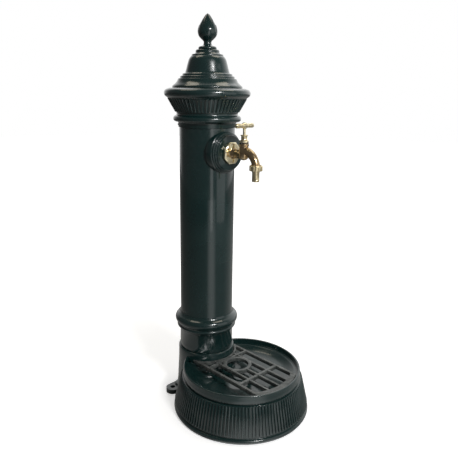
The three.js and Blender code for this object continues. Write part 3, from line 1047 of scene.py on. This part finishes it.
# ---------------------------------------------------------------- column
@dataclass
class Column:
    """The column shaft with its ring moulding and the stepped tap boss."""

    axis: Axis
    inlet: Axis
    foot: float = 136.3
    radius: float = 74.5
    bore: float = 66
    shoulder: float = 766.2
    spigot: float = 70
    top: float = 790

    def shaft(self) -> bpy.types.Object:
        """The turned shaft, from its foot flange to its spigot.

        Returns:
            The shaft.
        """
        outline = [
            (self.bore, self.foot), (75.5, self.foot), (76.5, self.foot + 2), (76.3, 150),
            (76, 190), (77, 192), (79, 193), (79, 197.6),
            *bead((80, 203), 5, -62, 62, 8),
            *bead((76, 223), 14, -58, 68, 20),
            (78.2, 238.5), (76.4, 240.6), (75.2, 243), (self.radius, 247),
            (self.radius, 480), (self.radius, self.shoulder), (self.spigot, self.shoulder),
            (self.spigot, self.top), (self.bore, self.top),
        ]
        return softened(turned("column_body", outline, self.axis), 0.5)

    def boss(self) -> bpy.types.Object:
        """The three round steps that the tap is fixed to.

        Returns:
            The boss.
        """
        return softened(turned("tap_boss", [
            (0, 58), (58, 58), (57, 64), (55.4, 72), (54.6, 74.4), (52.5, 75.6), (52.5, 79.4),
            (51.4, 80.6), (49, 80.9), (49, 84.4), (48, 85.5), (45.8, 85.9), (45.8, 89),
            (44.4, 90.5), (0, 90.5),
        ], self.inlet, 96), 0.45)

    def build(self, paint: Paintwork) -> None:
        """Builds and dresses the column."""
        paint.mount(self.shaft(), Body.ROOT, Slot.ENAMEL, "column_shaft")
        paint.mount(self.boss(), Body.ROOT, Slot.ENAMEL)


@dataclass
class Capital:
    """The capital: collar, astragal, fluted flare and torus rim."""

    axis: Axis
    foot: float = 766.5
    top: float = 866.3
    rim_radius: float = 114
    rim_bead: float = 10.8
    leaves: int = 60
    leaf_low: tuple[float, float] = (83.6, 806.5)
    leaf_high: tuple[float, float] = (103.2, 840.5)
    leaf_width: float = 7.4
    leaf_depth: float = 4.2
    leaf_hollow: float = 1.2
    leaf_border: float = 1.3
    leaf_shoulder: float = 0.49

    def casting(self) -> bpy.types.Object:
        """The turned body.

        Returns:
            The capital.
        """
        rim = self.rim_radius - self.rim_bead
        outline = [
            (70.4, self.foot), (76.7, self.foot), (76.7, 776.4), (77.6, 778.6), (79, 780),
            *bead((82.3, 788.6), 8, -75, 75, 16),
            (82.2, 798), (81.4, 800), (81.6, 803), (84.0, 809), (88.2, 816.5), (93.4, 825.5),
            (99.0, 835), (101.4, 838.6), (104.4, 840.4), (105.6, 842.4),
            *bead((rim, 853.5), self.rim_bead, -62, 82, 20),
            (103, 865.4), (98, self.top), (86, self.top), (86, 858), (76, 812), (73, 797),
            (60, 796), (60, 790.3), (70.4, 790.3),
        ]
        return softened(turned("capital_casting", outline, self.axis), 0.5)

    def leaf_band(self) -> bpy.types.Object:
        """The narrow round-headed leaves that stand round the flare.

        Returns:
            All the leaves, as one piece.
        """
        low, high = self.leaf_low, self.leaf_high
        lean = math.atan2(high[0] - low[0], high[1] - low[1])
        length = math.hypot(high[0] - low[0], high[1] - low[1])
        half = length / 2 * MM
        leaf = block("capital_leaves", (self.leaf_depth, self.leaf_width, length), Vector())
        with editing(leaf):
            choose(
                leaf,
                Element.EDGE,
                lambda at, way: abs(way.x) > NEARLY and at.z > half * NEARLY,
            )
            shoulder = self.leaf_width * self.leaf_shoulder * MM
            bpy.ops.mesh.bevel(offset=shoulder, segments=4, affect="EDGES", clamp_overlap=True)
            choose(leaf, Element.FACE, lambda at, way: way.x > NEARLY)
            bpy.ops.mesh.inset(thickness=self.leaf_border * MM, depth=0)
            bpy.ops.transform.translate(value=(-self.leaf_hollow * MM, 0, 0))
        leaf.location = self.axis.at((low[0] + high[0]) / 2, (low[1] + high[1]) / 2)
        leaf.rotation_euler = (0, lean, 0)
        settle(leaf, "capital_leaves")
        softened(leaf, 0.35, 1, 50)
        return shaded(repeated(leaf, self.axis, self.leaves), 50)

    def build(self, paint: Paintwork) -> None:
        """Builds and dresses the capital.

        Args:
            paint: holds the finishes.
        """
        paint.mount(self.casting(), Body.ROOT, Slot.ENAMEL, "capital")
        paint.mount(self.leaf_band(), Body.ROOT, Slot.ENAMEL)
        for side in ("left", "right"):
            self.set_screw(side, paint)

    def set_screw(self, side: str, paint: Paintwork) -> None:
        """One set screw, with its socket, in place of the plain one.

        Args:
            side: left or right.
            paint: holds the finishes.
        """
        node = f"capital_screw_{side}"
        centre = middle(node)
        inside = Vector((self.axis.foot.x, self.axis.foot.y, centre.z))
        run = Axis(inside, (centre - inside).normalized(), UP)
        screw = turned(f"set_screw_{side}", [
            (0, 72), (3, 72), (3, 78), (2.4, 79), (1.7, 79), (1.5, 76.6), (0, 76.2),
        ], run, 24)
        paint.mount(softened(screw, 0.25), Body.ROOT, Slot.STEEL, node)


@dataclass
class BellCap:
    """The stepped bell above the capital."""

    axis: Axis
    foot: float = 866.6
    top: float = 962

    def casting(self) -> bpy.types.Object:
        """The turned bell.

        Returns:
            The bell.
        """
        outline = [
            (85, self.foot), (92.5, self.foot), (92.5, 870), (91.2, 872), (88, 874.6),
            (84.6, 877.2), (81.8, 880.2), (79.4, 883.4), (77.7, 886.6), (76.8, 889),
            (76, 890), (71.5, 890.5), (71.5, 895), (70, 896.5), (65.5, 897), (65.5, 901),
            (64, 902.5), (59.6, 903), (58.2, 904.4), (57.2, 907.6), (55.6, 913), (54.1, 918.6),
            (52.4, 925), (50.7, 931), (49.0, 936.4), (47.2, 940.2), (44.8, 943.4), (42.6, 945.6),
            (41.2, 946.4), (41.2, 949.2), (40, 950.4), (34, 951.2), (33, 952.6), (31, 954),
            (31, 959), (29.6, 961.2), (28, self.top),
            (6, self.top), (6, 955), (26, 947), (38, 941), (43, 934), (52, 903), (60, 889),
            (70, 884), (82, 873),
        ]
        return softened(turned("bell", outline, self.axis), 0.5)

    def build(self, paint: Paintwork) -> None:
        """Builds and dresses the bell."""
        paint.mount(self.casting(), Body.ROOT, Slot.ENAMEL, "bell_cap")


@dataclass
class Finial:
    """The bud on its neck, wrapped in overlapping leaves."""

    axis: Axis
    foot: float = 962.3
    leaves_in_a_row: int = 6
    leaf_skin: float = 1.2
    leaf_rise: float = 9.0
    leaf_sides: int = 10
    bare_tip: float = 2
    first_leaf: float = 12
    point_slope: float = 0.62
    bud: Outline = (
        (10.4, 982), (11.8, 984), (13.8, 986.5), (16.2, 989.2), (18.4, 991.8), (20.2, 994.4),
        (21.6, 997), (22.6, 999.6), (23.3, 1002.4), (23.6, 1005.4), (23.5, 1008.4), (23.0, 1011.6),
        (22.0, 1015), (20.8, 1018.6), (19.2, 1022.4), (17.2, 1026.4), (15.0, 1030.4),
        (12.7, 1034.4), (10.3, 1038.2), (8.0, 1041.6), (5.8, 1044.6), (3.8, 1047.2),
        (1.8, 1049.2), (0, 1050),
    )

    def core(self) -> bpy.types.Object:
        """The turned neck and bud.

        Returns:
            The core.
        """
        neck = [
            (0, self.foot), (22, self.foot), (23.4, self.foot + 1), (24, self.foot + 3),
            (23.7, 967), (22, 969.3), (18, 970.6), (14.4, 971.6), (12, 973.2), (10.6, 975.4),
            (10, 978), (10, 980.4),
        ]
        return softened(turned("finial_core", [*neck, *self.bud], self.axis, 96), 0.3)

    def leaf_row(
        self, name: str, low: float, tip: float, half_angle: float, offset: float, proud: float
    ) -> bpy.types.Object:
        """One row of pointed leaves lying on the bud.

        Args:
            name: the row's name.
            low: height of the leaves' feet.
            tip: height of their points.
            half_angle: half of each leaf's width, in degrees about the bud.
            offset: where the first leaf points, in degrees.
            proud: how far the leaf stands off the bud.

        Returns:
            The row.
        """
        rows = [
            (radius + proud * min(1, (height - low) / self.leaf_rise), height)
            for radius, height in self.bud
            if low <= height <= tip and radius > self.bare_tip
        ]
        start = Axis(Vector()).swung(half_angle)
        leaf = turned(name, rows, start, self.leaf_sides, 2 * half_angle)
        width = rows[len(rows) // 2][0] * math.sin(math.radians(half_angle))
        slant = (tip - low) * self.point_slope
        point = Vector((0, 0, rows[-1][1])) * MM
        for side in (1, -1):
            with editing(leaf):
                bpy.ops.mesh.bisect(
                    plane_co=point,
                    plane_no=Vector((0, side * slant, width)).normalized(),
                    clear_outer=True,
                )
        leaf.location = Vector((self.axis.foot.x, self.axis.foot.y, 0))
        leaf.rotation_euler = (0, 0, math.radians(offset))
        settle(leaf, name)
        shell = leaf.modifiers.new("shell", "SOLIDIFY")
        shell.thickness = self.leaf_skin * MM
        shell.offset = 0
        pick(leaf)
        bpy.ops.object.modifier_apply(modifier=shell.name)
        softened(close_up(leaf), 0.35, 2, 50)
        return repeated(leaf, self.axis, self.leaves_in_a_row)

    def build(self, paint: Paintwork) -> None:
        """Builds and dresses the finial.

        Args:
            paint: holds the finishes.
        """
        half = 180 / self.leaves_in_a_row
        first = self.first_leaf
        paint.mount(self.core(), Body.ROOT, Slot.ENAMEL, "finial")
        rows = [
            self.leaf_row("finial_leaves_low", 986, 1025, half * 0.98, first, 1.3),
            self.leaf_row("finial_leaves_middle", 996, 1038, half * 0.98, first + half, 0.65),
            self.leaf_row("finial_leaves_high", 1010, 1048, half * 0.9, first, 0.1),
        ]
        for row in rows:
            paint.mount(row, Body.ROOT, Slot.ENAMEL)


# ---------------------------------------------------------------- tap
@dataclass
class Tap:
    """The brass bib tap: flange, body, headwork, spindle with its handle, and hose union."""

    inlet: Axis
    spindle: Axis
    spout: Axis
    height: float
    flange_back: float = 92.3
    flange_front: float = 100.3
    flange_radius: float = 30
    flange_sides: int = 8
    screw_rise: float = 19
    barrel_start: float = 100.6
    spindle_reach: float = 138.5
    handle_rise: float = 72
    handle_half: float = 30
    grips: int = 8
    grip_radius: float = 2.1
    grip_reach: float = 15.5
    grip_inset: float = 0.7
    hexagon_turn: float = 20
    slot_size: tuple[float, float, float] = (12, 3.2, 1.1)

    def flange(self) -> bpy.types.Object:
        """The octagonal plate, countersunk for its screws.

        Returns:
            The plate, with its hub.
        """
        back, front = self.flange_back, self.flange_front
        turn = self.inlet.swung(180 / self.flange_sides)
        plate = turned("flange_plate", [
            (0, back), (self.flange_radius, back), (self.flange_radius, front - 3),
            (self.flange_radius - 3.6, front), (0, front),
        ], turn, self.flange_sides)
        sink = [(0, front - 4.4), (4.6, front - 4.4), (5.4, front + 4), (0, front + 4)]
        sinks = [turned("sink", sink, self.raised(side), BRASS_SIDES) for side in (1, -1)]
        softened(combined(plate, Combine.DIFFERENCE, *sinks), 0.6, 3)
        hub = turned("hub", [
            (0, front - 1), (16.5, front - 1), (15.6, front + 1.1), (0, front + 1.1),
        ], self.inlet, 6)
        softened(hub, 0.4)
        return shaded(merged("flange_plate", plate, hub))

    def raised(self, side: int) -> Axis:
        """The axis of a flange screw, above the inlet axis for 1 and below it for -1."""
        rise = UP * (side * self.screw_rise * MM)
        return Axis(self.inlet.foot + rise, self.inlet.along, self.inlet.across)

    def screw(self, side: int) -> bpy.types.Object:
        """A slotted round-headed screw.

        Args:
            side: 1 for the upper one and -1 for the lower.

        Returns:
            The screw.
        """
        front = self.flange_front
        line = self.raised(side)
        head = turned(f"slotted_screw_{'upper' if side > 0 else 'lower'}", [
            (0, front - 5), (4.3, front - 5), (4.3, front - 3.4), (3.8, front - 2.6),
            (2.8, front - 2.1), (0, front - 1.9),
        ], line, 32)
        slot = block("slot", self.slot_size, line.at(0, front - 1.6))
        return softened(combined(head, Combine.DIFFERENCE, slot), 0.2)

    def casting(self) -> bpy.types.Object:
        """The barrel, the chamber under the spindle and the swan-neck spout.

        Returns:
            The body, bored for the valve.
        """
        start, reach = self.barrel_start, self.spindle_reach
        barrel = softened(turned("barrel", [
            (0, 60), (10.3, 60), (10.3, start), (14, start), (14.6, start + 1),
            (14.2, start + 3.4), (12.4, start + 6), (11.3, 110), (11.2, 116), (11.6, 124),
            (12.4, 131), (12.4, reach), (0, reach),
        ], self.inlet, BRASS_SIDES), 0.3)
        zero = self.height
        chamber = softened(turned("chamber", [
            (0, zero - 14.2), (4, zero - 14), (8, zero - 12), (11, zero - 8.6), (12.8, zero - 3),
            (13.4, zero + 3), (13.3, zero + 9), (12.4, zero + 15), (11.3, zero + 19.6),
            (11.3, zero + 21.4), (12.7, zero + 22.8), (13, zero + 24.2), (13, zero + 26.6),
            (12, zero + 28.3), (0, zero + 28.3),
        ], self.spindle, BRASS_SIDES), 0.3)
        thread = softened(turned("outlet", [
            (0, zero - 28), (12.6, zero - 28), (13, zero - 27), (13, zero - 21.8),
            (12, zero - 20.8), (10.8, zero - 20), (0, zero - 20),
        ], self.spout, BRASS_SIDES), 0.3)
        body = combined(chamber, Combine.UNION, barrel, thread, self.swan_neck())
        bore = turned("bore", [
            (0, zero - 1), (6, zero - 1), (6, zero + 9), (9.6, zero + 9), (9.6, zero + 30),
            (0, zero + 30),
        ], self.spindle, BRASS_SIDES)
        return shaded(settle(combined(body, Combine.DIFFERENCE, bore), "tap_casting"))

    def swan_neck(self) -> bpy.types.Object:
        """The bent spout, bridged through round sections that turn from level to straight down.

        Returns:
            The neck.
        """
        # reach from the column's axis, rise over the inlet, degrees turned down, radius
        stations = [
            (132.0, 9.0, 4, 10.2), (140.5, 9.6, 0, 10.9), (147.0, 9.2, 12, 11.0),
            (153.5, 7.6, 22, 10.9), (159.8, 4.8, 32, 10.8), (165.6, 1.0, 42, 10.7),
            (170.6, -3.6, 52, 10.6), (174.6, -8.8, 62, 10.5), (177.8, -14.4, 72, 10.4),
            (180.0, -20.0, 82, 10.4), (181.0, -24.5, 90, 10.4),
        ]
        loops = []
        for reach, rise, fall, radius in stations:
            centre = self.inlet.at(0, reach) + UP * (rise * MM)
            bpy.ops.object.select_all(action="DESELECT")
            bpy.ops.mesh.primitive_circle_add(
                vertices=32,
                radius=radius * MM,
                location=centre,
                rotation=(math.radians(90 + fall), 0, 0),
            )
            loops.append(settle(bpy.context.object, "section"))
        neck = merged("neck", *loops)
        with editing(neck):
            bpy.ops.mesh.bridge_edge_loops()
            bpy.ops.mesh.select_all(action="SELECT")
            bpy.ops.mesh.fill_holes(sides=0)
            bpy.ops.mesh.normals_make_consistent(inside=False)
        return shaded(neck)

    def headwork(self) -> bpy.types.Object:
        """The hexagon over the chamber and the neck for the gland.

        Returns:
            The headwork.
        """
        low = self.height + 29.9
        hexagon = turned("headwork_hex", [
            (0, low), (10.8, low), (11.9, low + 1), (11.9, low + 5.5), (10.8, low + 6.5),
            (0, low + 6.5),
        ], self.spindle.swung(self.hexagon_turn), 6)
        softened(hexagon, 0.35)
        neck = turned("gland_neck", [(0, low), (7.4, low), (7.4, low + 10), (0, low + 10)],
                      self.spindle, BRASS_SIDES)
        return shaded(merged("headwork_hex", hexagon, softened(neck, 0.3)))

    def gland(self) -> bpy.types.Object:
        """The gland nut with its flared top.

        Returns:
            The nut.
        """
        low = self.height + 36.7
        return softened(turned("gland_cap", [
            (0, low), (8.2, low), (8.6, low + 0.8), (8.3, low + 1.6), (7.9, low + 3),
            (7.9, low + 9), (8.4, low + 10.4), (9.4, low + 11.2), (9.4, low + 12.3),
            (8.6, low + 12.9), (4.2, low + 12.9), (3.8, low + 12), (0, low + 12),
        ], self.spindle, BRASS_SIDES), 0.2)

    def rod(self) -> bpy.types.Object:
        """The spindle, from inside the chamber to above the handle.

        Returns:
            The spindle.
        """
        zero = self.height
        return softened(turned("spindle_rod", [
            (0, zero + 15.2), (5, zero + 15.2), (5, zero + 30.5), (3.6, zero + 32),
            (3.6, zero + self.handle_rise + 6.4), (3.1, zero + self.handle_rise + 7.6),
            (1.8, zero + self.handle_rise + 8), (0, zero + self.handle_rise + 8),
        ], self.spindle, 32), 0.2)

    def handle(self) -> bpy.types.Object:
        """The T handle with its thicker middle and barrel-shaped ends.

        Returns:
            The handle.
        """
        half = self.handle_half
        axle = Axis(self.spindle.at(0, self.height + self.handle_rise), RIGHT, UP)
        end = [(5.6, 16), (5.8, 19), (5.8, 26), (5.6, half - 1.4), (5.0, half - 0.4), (4.0, half)]
        waist = [(6.6, 3.4), (6.4, 6.0), (5.7, 8.0), (5.2, 10), (5.1, 13), (5.3, 15)]
        near = [*waist, *end]
        far = [(radius, -along) for radius, along in reversed(near)]
        bar = turned("tee_handle", [(0, -half), *far, *near, (0, half)], axle, BRASS_SIDES)
        hub = turned("hub", [
            (0, -7.2), (4.6, -7.2), (5.4, -6.4), (5.8, -4), (5.8, 4), (5.4, 6.4), (4.6, 7.2),
            (0, 7.2),
        ], Axis(self.spindle.at(0, self.height + self.handle_rise)), BRASS_SIDES)
        return shaded(merged("tee_handle", softened(bar, 0.3), softened(hub, 0.3)))

    def union(self) -> bpy.types.Object:
        """The union nut with its grip lugs.

        Returns:
            The nut.
        """
        low, high = self.height - 36.6, self.height - 22.5
        nut = softened(turned("union_ring", [
            (10.1, low), (14.6, low), (15.7, low + 1), (15.9, low + 2.2), (15.9, high - 2.2),
            (15.7, high - 1), (14.8, high), (13.6, high), (13.6, low + 3), (10.1, low + 3),
        ], self.spout, BRASS_SIDES), 0.25)
        place = self.spout.swung(180 / self.grips).at(self.grip_reach, (low + high) / 2)
        grip = cylinder("grip", self.grip_radius, high - low - 2 * self.grip_inset, place, 16)
        repeated(softened(grip, 0.7, 2, 60), self.spout, self.grips)
        return shaded(merged("union_ring", nut, grip))

    def tail(self) -> bpy.types.Object:
        """The hose tail with its barbs, and the collar that the union nut pulls on.

        Returns:
            The tail.
        """
        low, seat = self.height - 63.5, self.height - 33.3
        return softened(turned("tail_pipe", [
            (7.4, low), (8.6, low), (9.2, low + 0.8), (9.6, low + 2.4), (9.7, low + 5),
            (9.3, low + 5.6), (9.3, low + 22), (9.7, low + 23), (9.7, seat), (12.8, seat),
            (12.8, seat + 2.5), (7.4, seat + 2.5),
        ], self.spout, BRASS_SIDES), 0.2)

    def build(self, paint: Paintwork) -> None:
        """Builds and dresses the tap.

        Args:
            paint: holds the finishes.
        """
        paint.mount(self.flange(), Body.ROOT, Slot.BRASS, "tap_flange")
        paint.mount(self.screw(1), Body.ROOT, Slot.BRASS, "flange_screw_upper")
        paint.mount(self.screw(-1), Body.ROOT, Slot.BRASS, "flange_screw_lower")
        # The tap body takes the darker brass copy, partly painted shade.
        paint.darken_with_painted_shade(paint.mount(self.casting(), Body.ROOT, Slot.BRASS, "tap_body"))
        paint.mount(self.headwork(), Body.ROOT, Slot.BRASS, "headwork")
        paint.mount(self.gland(), Body.ROOT, Slot.BRASS, "gland_nut")
        paint.mount(self.rod(), Body.SPINDLE, Slot.BRASS, "tap_spindle")
        paint.mount(self.handle(), Body.SPINDLE, Slot.BRASS, "tap_handle")
        paint.mount(self.union(), Body.UNION, Slot.BRASS, "union_nut")
        paint.mount(self.tail(), Body.TAIL, Slot.BRASS, "hose_tail")


# ---------------------------------------------------------------- inner pieces
@dataclass(frozen=True)
class InnerPieces:
    """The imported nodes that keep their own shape, with the finish of each."""

    enamel: tuple[str, ...] = ("waste_strainer",)
    brass: tuple[str, ...] = (
        "waste_backnut", "riser_elbow", "riser_nut", "inlet_coupling", "jumper_valve",
        "jumper_nut",
    )
    copper: tuple[str, ...] = ("waste_pipe", "riser_pipe")
    rubber: tuple[str, ...] = (
        "waste_seal", "flange_gasket", "headwork_washer", "gland_packing", "hose_washer",
        "jumper_washer",
    )
    steel: tuple[str, ...] = (
        "column_bolt_1", "column_bolt_2", "column_bolt_3", "column_nut_1", "column_nut_2",
        "column_nut_3", "bridge_bar", "tie_rod", "tie_rod_washer", "tie_rod_nut",
    )

    def build(self, paint: Paintwork) -> None:
        """Dresses each node.

        Args:
            paint: holds the finishes.
        """
        groups = {
            Slot.ENAMEL: self.enamel,
            Slot.BRASS: self.brass,
            Slot.COPPER: self.copper,
            Slot.RUBBER: self.rubber,
            Slot.STEEL: self.steel,
        }
        for slot, names in groups.items():
            for name in names:
                paint.coat(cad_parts[name], slot)
                log.info("%s: kept, %s", name, slot.value)


# ---------------------------------------------------------------- studio
@dataclass(frozen=True)
class Lamp:
    """An oblong area light that faces the middle of the object.

    It stands so many degrees right of the camera and above the ground, seen from the object, and
    so many metres away. Its size is width and height in metres, and its glow how bright its face
    is.
    """

    name: str
    right: float
    rise: float
    distance: float
    size: tuple[float, float]
    glow: float
    tint: Colour = (1, 1, 1)


WARM = (1.0, 0.90, 0.72)
LAMPS = (
    Lamp("overhead", 170, 60, 2.8, (2.4, 2.4), 0.5),
    Lamp("warm_right", 115, 66, 2.4, (0.85, 0.85), 2.3, WARM),
    Lamp("warm_left", -115, 66, 2.4, (0.85, 0.85), 2.3, WARM),
    Lamp("fill", 60, 8, 2.5, (1.8, 2.6), 0.62),
    Lamp("strip", 19, 12, 1.9, (0.36, 1.8), 1.0),
    Lamp("spot", 30, 36, 2.4, (0.5, 0.24), 70.0),
)


@dataclass
class Studio:
    """A pale floor, white walls, lamps and the camera."""

    column: Axis
    camera_turn: float = 42
    camera_distance: float = 1.427
    camera_height: float = 0.860
    aim_right: float = 2.5038
    aim_down: float = 14.75
    roll: float = 0.86
    lens: float = 41.2
    lamp_aim: float = 0.5
    floor_radius: float = 9.0
    floor_white: Colour = (0.94, 0.94, 0.94)
    mirrored_grey: Colour = (0.5, 0.5, 0.5)
    mirrored_dark: Colour = (0.2, 0.2, 0.2)
    dark_right: float = -24.0
    dark_rise: float = 6.0
    dark_spread: tuple[float, float] = (-0.9, -0.05)
    room_light: tuple[float, float] = (1.0, 0.11)
    dull_reach: tuple[float, float] = (0.3, 1.0)
    glow_reach: tuple[float, float] = (0.3, 1.2)
    glow_share: tuple[float, float] = (0.5, 1.0)
    lane_right: float = 20.0
    lane_half: float = 20.0
    lane_glow: float = 0.62

    def towards(self, right: float, rise: float) -> Vector:
        """A direction from the object.

        Args:
            right: degrees right of the camera, seen from the object.
            rise: degrees above the ground.

        Returns:
            The direction, one metre long.
        """
        turn, lift = math.radians(self.camera_turn - right), math.radians(rise)
        return Vector((
            -math.sin(turn) * math.cos(lift), -math.cos(turn) * math.cos(lift), math.sin(lift)
        ))

    def floor(self) -> None:
        """A wide pale disc under the object, greyer and partly glowing in reflections."""
        rim = self.floor_radius / MM
        disc = turned("floor", [(0, -20), (rim, -20), (rim, -0.2), (0, -0.2)], self.column, 96)
        made = bpy.data.materials.new("pale_floor")
        made.use_nodes = True
        board = Board(made.node_tree)
        path = board.add("LightPath")
        seen, mirrored = path.outputs["Is Camera Ray"], path.outputs["Is Glossy Ray"]
        feeds = {0: board.place(), 1: self.column.foot}
        away = board.add("VectorMath", feeds, operation="SUBTRACT").outputs[0]
        far = board.add("VectorMath", {0: away}, operation="LENGTH").outputs["Value"]
        level = board.add("VectorMath", {0: away}, operation="NORMALIZE").outputs[0]
        dark = board.agreement(level, self.towards(self.dark_right, 0))
        away_dull = board.ramp(far, *self.dull_reach)
        dull = board.math("MULTIPLY", away_dull, board.ramp(dark, *self.dark_spread))
        dulled = board.blend(dull, solid(self.mirrored_grey), solid(self.mirrored_dark))
        colour = board.blend(seen, dulled, solid(self.floor_white))
        open_glow = board.ramp(far, *self.glow_reach, self.glow_share)
        open_glow = board.math("MULTIPLY", seen, open_glow)
        facing = board.agreement(level, self.towards(self.lane_right, 0))
        edge = math.cos(math.radians(self.lane_half))
        lane = board.ramp(facing, edge, 1.0, (0.0, self.lane_glow))
        glow = board.math("ADD", open_glow, board.math("MULTIPLY", mirrored, lane))
        shader = board.add("BsdfPrincipled", {
            "Base Color": colour,
            "Roughness": 0.9,
            "Specular IOR Level": 0.1,
            "Emission Color": solid((1, 1, 1)),
            "Emission Strength": glow,
        })
        board.add("OutputMaterial", {"Surface": shader.outputs["BSDF"]})
        disc.data.materials.append(made)

    def surroundings(self) -> None:
        """White walls behind and beside the object, and a dark room behind the camera."""
        world = bpy.data.worlds.new("studio")
        bpy.context.scene.world = world
        world.use_nodes = True
        board = Board(world.node_tree)
        way = board.add("TexCoord").outputs["Generated"]
        dark = board.agreement(way, self.towards(self.dark_right, self.dark_rise))
        level = board.ramp(dark, *self.dark_spread, self.room_light)
        seen = board.add("LightPath").outputs["Is Camera Ray"]
        strength = board.math("MAXIMUM", level, seen)
        back = board.add("Background", {"Color": solid((1, 1, 1)), "Strength": strength})
        board.add("OutputWorld", {"Surface": back.outputs[0]})

    def light(self, lamp: Lamp) -> None:
        """Sets up one lamp.

        Args:
            lamp: where it stands and how it shines.
        """
        way = self.towards(lamp.right, lamp.rise)
        data = bpy.data.lights.new(lamp.name, "AREA")
        data.shape = "RECTANGLE"
        data.size, data.size_y = lamp.size
        data.energy = lamp.glow * math.pi * lamp.size[0] * lamp.size[1]
        data.color = lamp.tint
        holder = bpy.data.objects.new(lamp.name, data)
        holder.location = self.column.foot + UP * self.lamp_aim + way * lamp.distance
        holder.rotation_mode = "QUATERNION"
        holder.rotation_quaternion = (-way).to_track_quat("-Z", "Y")
        bpy.context.scene.collection.objects.link(holder)

    def camera(self) -> None:
        """The camera, a little above the tap and left of the front."""
        data = bpy.data.cameras.new("camera")
        data.lens = self.lens
        eye = bpy.data.objects.new("camera", data)
        spot = self.column.foot + self.towards(0, 0) * self.camera_distance
        eye.location = (spot.x, spot.y, self.camera_height)
        heading = math.radians(self.camera_turn + self.aim_right)
        down = math.radians(self.aim_down)
        gaze = Vector((
            math.sin(heading) * math.cos(down), math.cos(heading) * math.cos(down), -math.sin(down)
        ))
        eye.rotation_mode = "QUATERNION"
        level = gaze.to_track_quat("-Z", "Y")
        eye.rotation_quaternion = level @ Quaternion((0, 0, 1), math.radians(self.roll))
        bpy.context.scene.collection.objects.link(eye)
        bpy.context.scene.camera = eye

    def build(self) -> None:
        """Sets up the whole studio."""
        bpy.context.scene.view_settings.view_transform = "Standard"
        self.floor()
        self.surroundings()
        for lamp in LAMPS:
            self.light(lamp)
        self.camera()


def main() -> None:
    """Builds the fountain's looks, piece by piece, and the studio round them."""
    logging.basicConfig(level=logging.INFO, format="%(name)s: %(message)s")
    paint = Paintwork()
    column = upright(middle("finial"))
    basin = upright(middle("waste_pipe"))
    spindle = upright(middle("tap_spindle"))
    spout = upright(middle("hose_tail"))
    tap_height = middle("flange_gasket").z
    inlet = Axis(column.foot + UP * tap_height, FORWARD, RIGHT)
    grille_low, grille_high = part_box("grille")
    water_hole = Axis(column.foot + FORWARD * Grille.hole_offset * MM)
    Studio(column).build()
    Basin(basin, column).build(paint)
    Grille(basin, column, water_hole, grille_low.z / MM, grille_high.z / MM).build(paint)
    Column(column, inlet).build(paint)
    Capital(column).build(paint)
    BellCap(column).build(paint)
    Finial(column).build(paint)
    Tap(inlet, spindle, spout, tap_height / MM).build(paint)
    InnerPieces().build(paint)


if __name__ == "__main__":
    main()
